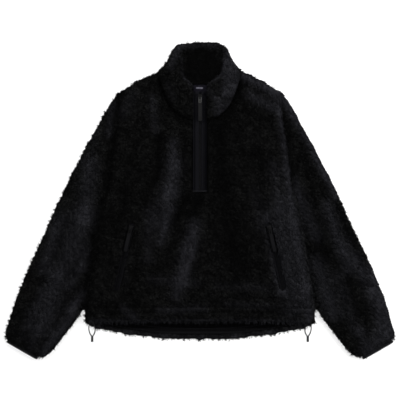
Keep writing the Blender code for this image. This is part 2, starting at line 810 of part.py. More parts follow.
def make_front_zip():
    """The half zip at the centre front, with its slider at the top of the collar."""
    foot, head = Vector((0, SLIT_FOOT_Y + TAPE_MARGIN)), Vector((0, ZIP_TOP_Y))
    edge = SLIT_HALF - TAPE_MARGIN

    def tape_z(x, y):
        return front_tape_z(y)

    strip("front_zip_tape", (foot, head), -edge, edge, tape_z, TAPE_THICK, zip_tape())
    slider_foot = ZIP_SLIDER_Y + SLIDER_LOW[1] * MM
    chain = foot + Vector((0, 4.5 * MM)), Vector((0, slider_foot - SLIDER_GAP))
    make_chain("front_zip_chain", chain, tape_z)
    base = front_tape_z(ZIP_SLIDER_Y) + TAPE_THICK + SLIDER_GAP
    axis = Vector((0, ZIP_SLIDER_Y, base - SLIDER_LOW[2] * MM))
    up = Vector((0, 1))
    make_slider("front_zip_slider", axis, up)
    make_pull("front_pull", axis, up)


def make_pocket_zip(sign, word):
    """One slanted pocket zip, set in its slot in the front panel."""
    foot = Vector((sign * POCKET_FOOT[0], POCKET_FOOT[1]))
    head = Vector((sign * POCKET_TOP[0], POCKET_TOP[1]))
    up = (head - foot).normalized()
    edge = POCKET_SLOT_HALF - TAPE_MARGIN

    def tape_z(x, y):
        return front_bottom(x, y) + TAPE_SINK

    line = foot + up * TAPE_MARGIN, head - up * TAPE_MARGIN
    strip(f"pocket_zip_tape_{word}", line, -edge, edge, tape_z, TAPE_THICK, zip_tape())
    place = head - up * SLIDER_FROM_TOP
    chain_head = place + up * (SLIDER_LOW[1] * MM - SLIDER_GAP)
    make_chain(f"pocket_zip_chain_{word}", (foot + up * 3 * MM, chain_head), tape_z)
    reach = -(GRIP_START - GRIP_LENGTH) * MM
    under_grip = [place - up * reach * i / 8 for i in range(9)]
    highest_tape = max(tape_z(p.x, p.y) for p in under_grip[:2])
    highest_cloth = max(front_top(p.x, p.y) for p in under_grip)
    on_tape = highest_tape + TAPE_THICK + SLIDER_GAP - SLIDER_LOW[2] * MM
    over_cloth = highest_cloth + GRIP_HALF_THICK * MM + PULL_HEIGHT / 2
    axis = Vector((place.x, place.y, max(on_tape, over_cloth)))
    make_slider(f"pocket_slider_{word}", axis, up)
    make_pull(f"pocket_pull_{word}", axis, up)


def cord_route(sign, strand):
    """Route of one strand of a hem cord's loop: out of the hem, over the back hem and into the cord end."""
    return [Vector((sign * CORD_X + strand * out * MM, y * MM, z * MM)) for out, y, z in CORD_ROUTE]


def smooth_line(points, steps):
    """Points of a smooth curve through others, with this many steps in each span."""
    line = []
    for i in range(len(points) - 1):
        a, b = points[max(i - 1, 0)], points[i]
        c, d = points[i + 1], points[min(i + 2, len(points) - 1)]
        for k in range(steps):
            t = k / steps
            bend = (c - a) * t + (2 * a - 5 * b + 4 * c - d) * t**2 + (3 * b - a - 3 * c + d) * t**3
            line.append(b + bend / 2)
    return [*line, points[-1]]


def make_cord_strand(name, points):
    """One strand of round cord through its route's points."""
    curve = bpy.data.curves.new(name, "CURVE")
    curve.dimensions = "3D"
    curve.bevel_depth = CORD_DIAMETER / 2
    curve.bevel_resolution = 2
    curve.use_fill_caps = True
    line = smooth_line(points, CORD_STEPS)
    spline = curve.splines.new("POLY")
    spline.points.add(len(line) - 1)
    for point, place in zip(spline.points, line, strict=True):
        point.co = (*place, 1)
    add_object(name, curve, cord_nylon())


def make_cord_end(name, x, start_y):
    """The waisted barrel that grips both strands of a hem cord."""
    bm = bmesh.new()
    rings = []
    for radius_share, share in CORD_END_PROFILE:
        radius, y = CORD_END_RADIUS * radius_share, start_y - CORD_END_LENGTH * share
        turns = [2 * math.pi * k / CORD_END_SIDES for k in range(CORD_END_SIDES)]
        ring = [(x + radius * math.cos(turn), y, CORD_END_Z + radius * math.sin(turn)) for turn in turns]
        rings.append([bm.verts.new(point) for point in ring])
    for low, high in zip(rings, rings[1:], strict=False):
        for k in range(CORD_END_SIDES):
            bm.faces.new((low[k], low[k - 1], high[k - 1], high[k]))
    bm.faces.new(rings[0])
    bm.faces.new(rings[-1])
    mesh_object(name, bm, grip_rubber())


def make_hem_cord(sign, word):
    """The loop of elastic cord at one side of the hem, gathered in a cord end."""
    for strand, letter in ((-1, "a"), (1, "b")):
        make_cord_strand(f"hem_cord_{word}_{letter}", cord_route(sign, strand))
    make_cord_end(f"cord_end_{word}", sign * CORD_X, cord_route(sign, 1)[-1].y - CORD_END_GAP)


def main():
    """Empties the scene and makes every piece."""
    for obj in list(bpy.data.objects):
        bpy.data.objects.remove(obj)
    make_body()
    make_collar()
    make_label()
    make_front_zip()
    for sign, word in ((-1, "left"), (1, "right")):
        make_sleeve(sign, word)
        make_binding(sign, word)
        make_pocket_zip(sign, word)
        make_hem_cord(sign, word)


main()
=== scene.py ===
"""A high-pile fleece pullover with a half zip, laid flat: its pile, bindings, zips, tapes and cords.

All sizes are in metres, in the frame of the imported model: +X to the right as the garment is seen, +Y from hem
to collar and +Z up out of the front. Each class makes one kind of piece and dresses it, and main() builds
them in order.
"""

import json
import logging
import math
from collections.abc import Callable, Iterator, Sequence
from contextlib import contextmanager
from dataclasses import dataclass
from enum import Enum

import bpy
import numpy as np
from mathutils import Matrix, Vector, noise
from mathutils.bvhtree import BVHTree


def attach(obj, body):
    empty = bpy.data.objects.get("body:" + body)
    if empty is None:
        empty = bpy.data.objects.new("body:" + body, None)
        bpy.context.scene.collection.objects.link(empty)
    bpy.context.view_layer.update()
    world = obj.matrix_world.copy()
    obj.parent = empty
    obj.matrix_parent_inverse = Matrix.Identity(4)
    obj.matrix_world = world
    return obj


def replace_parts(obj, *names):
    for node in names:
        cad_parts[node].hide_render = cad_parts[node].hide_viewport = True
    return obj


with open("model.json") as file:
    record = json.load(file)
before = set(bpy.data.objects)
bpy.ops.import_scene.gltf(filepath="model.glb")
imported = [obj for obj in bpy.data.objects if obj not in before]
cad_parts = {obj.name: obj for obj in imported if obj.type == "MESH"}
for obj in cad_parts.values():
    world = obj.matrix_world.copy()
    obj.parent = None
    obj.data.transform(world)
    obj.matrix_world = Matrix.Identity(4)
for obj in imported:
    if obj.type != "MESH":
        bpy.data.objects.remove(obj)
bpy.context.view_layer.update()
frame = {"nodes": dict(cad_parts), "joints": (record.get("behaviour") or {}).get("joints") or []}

log = logging.getLogger("fleece_pullover")

MM = 0.001
GARMENT = "garment"
HALVES = ((-1, "left"), (1, "right"))
SHARP_EDGE = math.radians(35)
Plan = tuple[float, float]
Triple = tuple[float, float, float]


# ---------------------------------------------------------------------------------------------------------
# Shader expressions


class Value:
    """A socket of a shader. Sums on it are written as Python expressions, and add their Math nodes."""

    def __init__(self, shader: "Shader", socket: bpy.types.NodeSocket) -> None:
        """Holds a socket and the shader that it belongs to."""
        self.shader = shader
        self.socket = socket

    def _math(self, operation: str, first: "Value | float", second: "Value | float" = 0.0) -> "Value":
        """Adds one Math node."""
        return self.shader.node("ShaderNodeMath", {"operation": operation}, {0: first, 1: second})

    def __add__(self, other: "Value | float") -> "Value":
        """The sum."""
        return self._math("ADD", self, other)

    def __sub__(self, other: "Value | float") -> "Value":
        """The difference."""
        return self._math("SUBTRACT", self, other)

    def __rsub__(self, other: float) -> "Value":
        """A number minus this."""
        return self._math("SUBTRACT", other, self)

    def __mul__(self, other: "Value | float") -> "Value":
        """The product."""
        return self._math("MULTIPLY", self, other)

    __radd__ = __add__
    __rmul__ = __mul__

    def sine(self) -> "Value":
        """The sine of this."""
        return self._math("SINE", self)

    def positive(self) -> "Value":
        """This where it is over zero, and 0 elsewhere."""
        return self._math("MAXIMUM", self)


class Shader:
    """A material with one Principled shader, and the nodes that feed it."""

    def __init__(self, name: str, **constants: float | tuple[float, ...]) -> None:
        """Makes the material.

        Args:
            name: The finish's name.
            **constants: Values that are the same all over, with _ for each space in the socket's name.
        """
        self.material = bpy.data.materials.new(name)
        self.material.use_nodes = True
        self.tree = self.material.node_tree
        self.surface = self.tree.nodes["Principled BSDF"]
        for words, value in constants.items():
            socket = self.surface.inputs[words.replace("_", " ")]
            socket.default_value = (*value, 1) if socket.type == "RGBA" else value

    def node(self, kind: str, settings: dict, inputs: dict, output: int | str = 0) -> Value:
        """Adds any node.

        Args:
            kind: The node's type.
            settings: Its own settings.
            inputs: A number, a tuple or a Value for each socket, by its name or place.
            output: The socket that is returned.

        Returns:
            The node's output.
        """
        made = self.tree.nodes.new(kind)
        for word, setting in settings.items():
            setattr(made, word, setting)
        for key, given in inputs.items():
            if isinstance(given, Value):
                self.tree.links.new(given.socket, made.inputs[key])
            else:
                made.inputs[key].default_value = given
        return Value(self, made.outputs[output])

    def parts(self, kind: str, source: Value) -> list[Value]:
        """The three parts of a colour or a vector."""
        outputs = self.node(kind, {}, {0: source}).socket.node.outputs
        return [Value(self, outputs[i]) for i in range(3)]

    def place(self, scale: Sequence[float] = (1, 1, 1)) -> Value:
        """Object coordinates, scaled."""
        place = self.node("ShaderNodeTexCoord", {}, {}, "Object")
        return self.node("ShaderNodeMapping", {}, {"Vector": place, "Scale": scale})

    def attribute(self, name: str, output: str = "Fac") -> Value:
        """A value stored on the mesh."""
        return self.node("ShaderNodeAttribute", {"attribute_name": name}, {}, output)

    def noise(self, place: Value, scale: float, detail: float = 2.0) -> Value:
        """Soft noise from 0 to 1."""
        return self.node("ShaderNodeTexNoise", {}, {"Vector": place, "Scale": scale, "Detail": detail})

    def blend(self, share: Value | float, low: Value | tuple, high: Value | tuple) -> Value:
        """A colour between two colours."""
        kinds = {"data_type": "RGBA", "blend_type": "MIX"}
        colours = [c if isinstance(c, Value) else (*c, 1) for c in (low, high)]
        return self.node("ShaderNodeMix", kinds, {0: share, 6: colours[0], 7: colours[1]}, 2)

    def feed(self, **sockets: Value) -> None:
        """Links values to the Principled shader's sockets."""
        for words, value in sockets.items():
            self.tree.links.new(value.socket, self.surface.inputs[words.replace("_", " ")])

    def bump(self, height: Value, distance: float, strength: float = 1.0) -> None:
        """Raises the surface's shading by a height."""
        inputs = {"Height": height, "Distance": distance, "Strength": strength}
        self.feed(Normal=self.node("ShaderNodeBump", {}, inputs, "Normal"))


# ---------------------------------------------------------------------------------------------------------
# Finishes


def times(colour: Triple, share: float) -> Triple:
    """A colour made lighter or darker."""
    return tuple(share * part for part in colour)


@dataclass(frozen=True)
class FleeceFinish:
    """Black high-pile fleece. Stretches where the pile lies flat are greyer than curled ones, as a painted
    sheen highlight, and tips are greyer than roots, as painted shade at the roots and between the clumps.
    """

    name: str = "black_high_pile_fleece"
    # Painted shade at the foot of the pile.
    root: Triple = (0.0003, 0.0003, 0.0003)
    tip: Triple = (0.0101, 0.0103, 0.0100)
    # Painted sheen highlight where the pile lies flat.
    brushed_and_lit: Triple = (0.0165, 0.0165, 0.0202)
    sheen: Triple = (0.86, 0.86, 1.0)
    patch_size: float = 26 * MM
    curl_size: float = 3.4 * MM
    fibre_size: float = 0.8 * MM
    relief: float = 2.2 * MM

    def material(self) -> bpy.types.Material:
        """The fleece as a material."""
        look = {"Specular_IOR_Level": 0.015, "Sheen_Weight": 0.003, "Sheen_Roughness": 0.45}
        shader = Shader(self.name, **look, Sheen_Tint=self.sheen)
        height, brushed_and_lit, own = shader.parts("ShaderNodeSeparateColor", shader.attribute("pile", "Color"))
        place = shader.place()
        patches = shader.noise(place, 1 / self.patch_size, 3)
        fibres = shader.noise(shader.place((1, 0.35, 1)), 1 / self.fibre_size, 2)
        curls = shader.noise(place, 1 / self.curl_size, 2)
        streaks = (2.0 * fibres + 6.0 * curls - 3.0).positive()
        combed = 0.6 * fibres + 0.5 * curls + 0.45
        # Painted shade: the height channel darkens roots and the gaps between clumps, and the own channel
        # carries painted shade from the opening, seams and shaded stretches.
        curled = shader.blend(height * own * streaks * (0.2 + 1.6 * patches), self.root, self.tip)
        # Painted highlight: where the pile lies flat the colour is blended towards the lighter sheen colour.
        lit = brushed_and_lit * (0.25 + 0.75 * height) * (0.5 + 0.45 * own) * (0.6 + 0.8 * patches) * combed
        colour = shader.blend(lit, curled, self.brushed_and_lit)
        shader.feed(Base_Color=colour, Roughness=0.95 - 0.25 * brushed_and_lit)
        shader.bump(curls + 0.25 * fibres, self.relief, 0.9)
        return shader.material


@dataclass(frozen=True)
class PaintedLightStripe:
    """A painted light stripe on a band, which fades to both sides."""

    middle: float
    half_width: float
    amount: float

    def share(self, place: Value) -> Value:
        """How light the stripe is at each place across it, from 0 to 1."""
        off = (place - self.middle) * (1 / self.half_width)
        return (1 - off * off).positive() * self.amount


@dataclass(frozen=True)
class WovenFinish:
    """A close woven or knitted band, with its threads in two directions, and painted light stripes along X or
    along Y.
    """

    name: str
    colour: Triple
    thread: float
    roughness: float
    specular: float
    relief: float = 0.25 * MM
    worn_size: float = 14 * MM
    darkest: float = 0.62
    lightest: float = 1.35
    painted_light_colour: Triple = (0.0, 0.0, 0.0)
    lengthwise: tuple[PaintedLightStripe, ...] = ()
    crosswise: tuple[PaintedLightStripe, ...] = ()

    def material(self) -> bpy.types.Material:
        """The band as a material."""
        shader = Shader(self.name, Specular_IOR_Level=self.specular)
        x, y, _ = shader.parts("ShaderNodeSeparateXYZ", shader.place())
        turns = 2 * math.pi / self.thread
        weave = ((x + y) * turns).sine() * ((x - y) * turns).sine()
        worn = shader.noise(shader.place(), 1 / self.worn_size, 3)
        dark, light = times(self.colour, self.darkest), times(self.colour, self.lightest)
        colour = shader.blend(0.5 + 0.3 * weave + 0.5 * (worn - 0.5), dark, light)
        # Painted light: lighter stripes laid over the band's colour.
        for stripe, across in [(s, x) for s in self.lengthwise] + [(s, y) for s in self.crosswise]:
            colour = shader.blend(stripe.share(across) * (0.8 + 0.2 * weave), colour, self.painted_light_colour)
        shader.feed(Base_Color=colour, Roughness=self.roughness - 0.12 * weave)
        shader.bump(weave, self.relief)
        return shader.material


@dataclass(frozen=True)
class MouldedFinish:
    """Plain moulded plastic or cast metal, with a fine grain and some wear."""

    name: str
    colour: Triple
    roughness: float
    metallic: float = 0.0
    specular: float = 0.5
    grain_size: float = 0.6 * MM
    wear_size: float = 5 * MM
    darkest: float = 0.7
    relief: float = 0.05 * MM

    def material(self) -> bpy.types.Material:
        """The plastic or metal as a material."""
        shader = Shader(self.name, Metallic=self.metallic, Specular_IOR_Level=self.specular)
        grain = shader.noise(shader.place(), 1 / self.grain_size, 3)
        wear = shader.noise(shader.place(), 1 / self.wear_size, 4)
        shader.feed(
            Base_Color=shader.blend(0.35 + wear * 0.75, times(self.colour, self.darkest), self.colour),
            Roughness=self.roughness + 0.22 * (wear - 0.5) + 0.08 * grain,
        )
        shader.bump(grain, self.relief, 0.5)
        return shader.material


@dataclass(frozen=True)
class BraidFinish:
    """The braided cover of a thin elastic cord."""

    name: str = "braided_cord"
    colour: Triple = (0.0075, 0.0075, 0.0085)
    pitch: float = 1.6 * MM
    darkest: float = 0.4
    relief: float = 0.3 * MM

    def material(self) -> bpy.types.Material:
        """The braid as a material."""
        shader = Shader(self.name, Specular_IOR_Level=0.12)
        x, y, z = shader.parts("ShaderNodeSeparateXYZ", shader.place())
        turns = 2 * math.pi / self.pitch
        braid = ((y + x + z) * turns).sine() * ((y - x - z) * turns).sine()
        colour = shader.blend(0.5 + 0.5 * braid, times(self.colour, self.darkest), self.colour)
        shader.feed(Base_Color=colour, Roughness=0.7 - 0.1 * braid)
        shader.bump(braid, self.relief)
        return shader.material


class Finishes:
    """Every finish of the garment, each made once."""

    def __init__(self) -> None:
        """Makes the materials. A band's numbers are its thread, roughness and specular level."""
        self.fleece = FleeceFinish().material()
        self.binding = WovenFinish(
            "stretch_binding", (0.0072, 0.0072, 0.0082), 1.3 * MM, 0.8, 0.04
        ).material()
        # Its lengthwise stripes are painted highlights along the tape.
        self.tape = WovenFinish(
            "woven_zip_tape", (0.0008, 0.0008, 0.0013), 1.0 * MM, 0.75, 0.02,
            painted_light_colour=(0.0062, 0.0062, 0.0078),
            lengthwise=(
                PaintedLightStripe(-14.6 * MM, 1.6 * MM, 0.6),
                PaintedLightStripe(-8.2 * MM, 2.6 * MM, 0.75),
                PaintedLightStripe(-3.9 * MM, 2.6 * MM, 0.95),
                PaintedLightStripe(5.6 * MM, 3.2 * MM, 0.55),
            ),
        ).material()
        self.small_tape = WovenFinish(
            "small_zip_tape", (0.0024, 0.0024, 0.0029), 0.8 * MM, 0.8, 0.02
        ).material()
        # Nearly black where the front hem shades it, as painted shade, with painted light bands where the tape
        # stands out below the hem.
        self.hem_tape = WovenFinish(
            "smooth_hem_tape", (0.0003, 0.0003, 0.0004), 1.4 * MM, 0.6, 0.01,
            painted_light_colour=(0.0036, 0.0036, 0.004),
            crosswise=(PaintedLightStripe(-289.5 * MM, 3.0 * MM, 0.6), PaintedLightStripe(-296.5 * MM, 4.4 * MM, 1.0)),
        ).material()
        self.label = WovenFinish(
            "blank_woven_label", (0.0042, 0.0038, 0.0064), 0.8 * MM, 0.7, 0.03
        ).material()
        self.label_bar = WovenFinish("pale_woven_bar", (0.07, 0.068, 0.085), 0.8 * MM, 0.7, 0.1).material()
        self.thread = WovenFinish(
            "stitching_thread", (0.0062, 0.0062, 0.0074), 0.5 * MM, 0.6, 0.05
        ).material()
        self.coil = MouldedFinish("nylon_coil", (0.003, 0.003, 0.0036), 0.42, specular=0.08).material()
        self.metal = MouldedFinish("grey_cast_metal", (0.046, 0.046, 0.0455), 0.4, 0.85, 0.15).material()
        self.dark_metal = MouldedFinish(
            "dark_cast_metal", (0.0042, 0.0042, 0.0044), 0.5, 0.6, 0.05
        ).material()
        self.grip = MouldedFinish("moulded_grip", (0.0037, 0.0037, 0.004), 0.55, specular=0.05).material()
        # A darker copy of the nylon coil, as painted shade on the pocket zips.
        self.small_shaded_coil = MouldedFinish(
            "small_shaded_nylon_coil", (0.0018, 0.0018, 0.0022), 0.5, specular=0.03
        ).material()
        # A darker copy of the moulded grip, as painted shade on the pocket pulls.
        self.small_shaded_grip = MouldedFinish(
            "small_shaded_moulded_grip", (0.0026, 0.0026, 0.0031), 0.6, specular=0.03
        ).material()
        self.cord_end = MouldedFinish(
            "moulded_cord_end", (0.012, 0.012, 0.013), 0.5, specular=0.2
        ).material()
        self.cord = BraidFinish().material()


# ---------------------------------------------------------------------------------------------------------
# Modelling


def choose(obj: bpy.types.Object) -> None:
    """Makes one object the only selected and the active one."""
    bpy.ops.object.select_all(action="DESELECT")
    obj.select_set(True)
    bpy.context.view_layer.objects.active = obj


@contextmanager
def edit_mode(kind: str = "") -> Iterator[None]:
    """Edit mode for a with block, in which a kind says whether points, edges or faces are selected."""
    bpy.ops.object.mode_set(mode="EDIT")
    if kind:
        bpy.ops.mesh.select_mode(type=kind)
    yield
    bpy.ops.object.mode_set(mode="OBJECT")


def select_faces(obj: bpy.types.Object, test: Callable[[bpy.types.MeshPolygon], bool]) -> None:
    """Selects the faces of the active mesh that pass a test, and nothing else on it."""
    with edit_mode("FACE"):
        bpy.ops.mesh.select_all(action="DESELECT")
    for face in obj.data.polygons:
        face.select = test(face)


def turn_outwards() -> None:
    """Turns every face of the mesh in edit mode outwards."""
    bpy.ops.mesh.select_all(action="SELECT")
    bpy.ops.mesh.normals_make_consistent(inside=False)


def extrude(way: Sequence[float]) -> None:
    """Draws the selected faces of the mesh in edit mode out by a step."""
    bpy.ops.mesh.extrude_region_move(TRANSFORM_OT_translate={"value": tuple(way)})


def linked(name: str, data: bpy.types.ID | None) -> bpy.types.Object:
    """A new object in the scene."""
    obj = bpy.data.objects.new(name, data)
    bpy.context.scene.collection.objects.link(obj)
    return obj


def join(obj: bpy.types.Object, *others: bpy.types.Object) -> None:
    """Joins other objects into one."""
    choose(obj)
    for other in others:
        other.select_set(True)
    bpy.ops.object.join()


def finish_with(obj: bpy.types.Object, kind: str, **settings: object) -> None:
    """Adds a modifier with its own settings, and applies it."""
    choose(obj)
    modifier = obj.modifiers.new(kind.lower(), kind)
    for word, setting in settings.items():
        setattr(modifier, word, setting)
    bpy.ops.object.modifier_apply(modifier=modifier.name)


def soften(obj: bpy.types.Object, width: float, segments: int = 2, **settings: float) -> None:
    """Rounds an object's sharp edges."""
    finish_with(obj, "BEVEL", width=width, segments=segments, limit_method="ANGLE", **settings)


def block(name: str, low: Vector, high: Vector) -> bpy.types.Object:
    """A block between two corners, from which a shape is cut."""
    bpy.ops.object.select_all(action="DESELECT")
    bpy.ops.mesh.primitive_cube_add(size=1, location=(low + high) / 2)
    obj = bpy.context.object
    obj.name = name
    obj.scale = high - low
    bpy.ops.object.transform_apply(location=True, rotation=True, scale=True)
    return obj


def drawn_bar(
    start: Vector, way: Vector, disc: tuple[int, Sequence[float]], steps: Sequence[Plan]
) -> bpy.types.Object:
    """Draws a disc out along X or Y, and makes it wider or narrower at each step.

    Args:
        start: The middle of the disc.
        way: Where to draw it, as long as the whole bar.
        disc: How many sides it has, and its half size along X, Y and Z.
        steps: The length of each step as a share of the bar, and how many times wider the bar is after it.

    Returns:
        The bar, still open to edits.
    """
    sides, half_size = disc
    turn = (0, math.pi / 2, 0) if way.x else (math.pi / 2, 0, 0)
    bpy.ops.object.select_all(action="DESELECT")
    bpy.ops.mesh.primitive_circle_add(
        vertices=sides, radius=1, fill_type="NGON", location=start, rotation=turn
    )
    obj = bpy.context.object
    bpy.ops.object.transform_apply(location=True, rotation=True, scale=True)
    with edit_mode():
        bpy.ops.mesh.select_all(action="SELECT")
        bpy.ops.transform.resize(value=half_size, center_override=tuple(start))
        for share, size in steps:
            extrude(way * share)
            sizes = [1 if part else size for part in way]
            bpy.ops.transform.resize(value=sizes, center_override=tuple(start))
    return obj


def dressed(
    obj: bpy.types.Object, finish: bpy.types.Material, slot: str, body: str = GARMENT
) -> bpy.types.Object:
    """Gives a finished piece its material and the body that it rides on, and logs its slot.

    Args:
        obj: The piece.
        finish: Its material.
        slot: The record's material slot.
        body: The body's name.

    Returns:
        The piece.
    """
    obj.data.materials.clear()
    obj.data.materials.append(finish)
    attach(obj, body)
    log.info("%s: %s", obj.name, slot)
    return obj


def copy_of(node: str, name: str) -> bpy.types.Object:
    """A copy of a CAD node's mesh as a new object, with its loose triangles merged."""
    mesh = frame["nodes"][node].data.copy()
    obj = linked(name, mesh)
    choose(obj)
    with edit_mode():
        bpy.ops.mesh.select_all(action="SELECT")
        bpy.ops.mesh.remove_doubles(threshold=0.01 * MM)
    mesh.materials.clear()
    for layer in list(mesh.uv_layers):
        mesh.uv_layers.remove(layer)
    return obj


def read(items: bpy.types.bpy_prop_collection, word: str, width: int = 1) -> np.ndarray:
    """One property of all of a mesh's points or faces, as an array."""
    values = np.empty(len(items) * width)
    items.foreach_get(word, values)
    return values.reshape(-1, width) if width > 1 else values


def place_points(obj: bpy.types.Object, places: np.ndarray) -> None:
    """Moves all of a mesh's points."""
    obj.data.vertices.foreach_set("co", places.ravel())
    obj.data.update()


def tree_of(mesh: bpy.types.Mesh) -> BVHTree:
    """A mesh's faces, ready to be looked up."""
    return BVHTree.FromPolygons([v.co for v in mesh.vertices], [p.vertices[:] for p in mesh.polygons])


def shape_of(obj: bpy.types.Object) -> tuple[np.ndarray, np.ndarray]:
    """A modelled shape's points and triangles. The object is used up."""
    points = read(obj.data.vertices, "co", 3)
    triangles = np.array([face.vertices[:] for face in obj.data.polygons])
    bpy.data.objects.remove(obj)
    return points, triangles


def object_of(name: str, places: np.ndarray, triangles: np.ndarray) -> bpy.types.Object:
    """A new object of many copies of one shape.

    Args:
        name: The object's name.
        places: The points of every copy, three numbers each.
        triangles: Three point numbers for each triangle of the shape.

    Returns:
        The object.
    """
    steps = np.arange(len(places))[:, None, None] * places.shape[1]
    corners = (triangles[None] + steps).ravel()
    mesh = bpy.data.meshes.new(name)
    mesh.vertices.add(places.size // 3)
    mesh.vertices.foreach_set("co", places.ravel())
    mesh.loops.add(corners.size)
    mesh.loops.foreach_set("vertex_index", corners)
    mesh.polygons.add(corners.size // 3)
    mesh.polygons.foreach_set("loop_start", np.arange(0, corners.size, 3))
    mesh.update(calc_edges=True)
    mesh.shade_smooth()
    return linked(name, mesh)


def smooth_rise(share: np.ndarray) -> np.ndarray:
    """0 below 0, 1 above 1, and an even rise between."""
    share = np.clip(share, 0, 1)
    return share * share * (3 - 2 * share)


def unit(rows: np.ndarray) -> np.ndarray:
    """Directions, one a row, made one long."""
    return rows / np.maximum(np.linalg.norm(rows, axis=1)[:, None], 1e-6)


def turned(rows: np.ndarray, towards: np.ndarray, angle: np.ndarray) -> np.ndarray:
    """Directions, one a row, turned towards others that are square to them."""
    return rows * np.cos(angle)[:, None] + towards * np.sin(angle)[:, None]


def along_cloth(rows: np.ndarray, normals: np.ndarray) -> np.ndarray:
    """Directions, one a row, without their part out of the cloth."""
    return rows - normals * (rows * normals).sum(1)[:, None]


# ---------------------------------------------------------------------------------------------------------
# Cloth


@dataclass(frozen=True)
class Stroke:
    """A soft straight stroke over the cloth, in millimetres: a fold, a trough, a stretch of flat-lying pile
    that also carries a painted highlight, or a stretch of painted shade.
    """

    start: Plan
    end: Plan
    half_width: float
    amount: float

    def at(self, places: np.ndarray) -> np.ndarray:
        """How strong the stroke is at each plan place, up to its amount.

        Args:
            places: Plan places in metres.

        Returns:
            One number for each place.
        """
        start, end = np.array(self.start) * MM, np.array(self.end) * MM
        along = end - start
        share = np.clip((places - start) @ along / (along @ along), 0, 1)
        away = np.linalg.norm(places - start - share[:, None] * along, axis=1) / (self.half_width * MM)
        return self.amount * np.exp(-1.6 * away * away)


def path(points: Sequence[Plan], half_width: float, amount: float) -> tuple[Stroke, ...]:
    """Strokes from point to point along a line."""
    return tuple(Stroke(a, b, half_width, amount) for a, b in zip(points, points[1:], strict=False))


def both(points: Sequence[Plan], half_width: float, amount: float) -> tuple[Stroke, ...]:
    """Strokes along a line, and along the same line on the other half."""
    return path(points, half_width, amount) + path([(-x, y) for x, y in points], half_width, amount)


def strokes(*rows: tuple[float, ...]) -> tuple[Stroke, ...]:
    """Strokes from rows of start x, start y, end x, end y, half width and amount."""
    return tuple(Stroke(row[:2], row[2:4], *row[4:]) for row in rows)


def strongest(marks: Sequence[Stroke], places: np.ndarray) -> np.ndarray:
    """The stroke that is furthest from zero at each plan place."""
    found = np.zeros(len(places))
    for stroke in marks:
        here = stroke.at(places)
        found = np.where(np.abs(here) > np.abs(found), here, found)
    return found


def added(marks: Sequence[Stroke], places: np.ndarray) -> np.ndarray:
    """The sum of all strokes at each plan place."""
    return sum((stroke.at(places) for stroke in marks), np.zeros(len(places)))


@dataclass(frozen=True)
class Curls:
    """The clumps that the pile gathers in: a jittered grid of centres over the plan."""

    spacing: float = 9.5 * MM
    seed: int = 11
    cells: int = 130

    def nearest(self, places: np.ndarray) -> tuple[np.ndarray, np.ndarray]:
        """The way from the nearest clump's centre to each plan place, and how light that clump is.

        Args:
            places: Plan places.

        Returns:
            Two numbers for each place, and one number from 0 to 1.
        """
        rng = np.random.default_rng(self.seed)
        jitter = rng.uniform(-0.42, 0.42, (self.cells, self.cells, 2))
        light = rng.random((self.cells, self.cells))
        half = self.cells // 2
        cell = np.floor(places / self.spacing).astype(int)
        best = np.full(len(places), np.inf)
        found, lightness = np.zeros((len(places), 2)), np.zeros(len(places))
        for di in (-1, 0, 1):
            for dj in (-1, 0, 1):
                at = cell + (di, dj)
                index = np.clip(at + half, 0, self.cells - 1)
                centre = (at + 0.5 + jitter[index[:, 0], index[:, 1]]) * self.spacing
                off = places - centre
                reach = (off * off).sum(1)
                nearer = reach < best
                best[nearer] = reach[nearer]
                found[nearer] = off[nearer]
                lightness[nearer] = light[index[nearer, 0], index[nearer, 1]]
        return found, lightness

    def domes(self, places: np.ndarray) -> np.ndarray:
        """How high each plan place stands on its clump, from 0 to 1."""
        reach = np.linalg.norm(self.nearest(places)[0], axis=1) / self.spacing
        return np.clip(1 - (reach / 0.6) ** 2, 0, 1)


@dataclass(frozen=True)
class Lock:
    """One lock of pile, modelled once: a three-sided spindle that can bend at its middle."""

    sides: int = 3

    def template(self) -> tuple[np.ndarray, np.ndarray]:
        """Models the lock along +Z, one unit long and one wide, with its ring at zero.

        Returns:
            Its points and its triangles.
        """
        bpy.ops.object.select_all(action="DESELECT")
        bpy.ops.mesh.primitive_circle_add(vertices=self.sides, radius=0.5)
        obj = bpy.context.object
        for rise in (0.5, -0.5):
            for edge in obj.data.edges:
                edge.select = all(abs(obj.data.vertices[i].co.z) < 0.1 for i in edge.vertices)
            with edit_mode("EDGE"):
                bpy.ops.mesh.extrude_edges_move(TRANSFORM_OT_translate={"value": (0, 0, rise)})
                bpy.ops.mesh.merge(type="CENTER")
                bpy.ops.mesh.select_all(action="DESELECT")
        with edit_mode():
            turn_outwards()
        return shape_of(obj)


class Side(Enum):
    """Which way a stretch of cloth faces."""

    UP = "up"
    UNDER = "under"


@dataclass
class Ground:
    """The faces of a knitted ground, as arrays with a row for each face."""

    centres: np.ndarray
    normals: np.ndarray
    areas: np.ndarray
    shows: np.ndarray
    brushed_and_lit: np.ndarray
    size: np.ndarray
    shade: np.ndarray


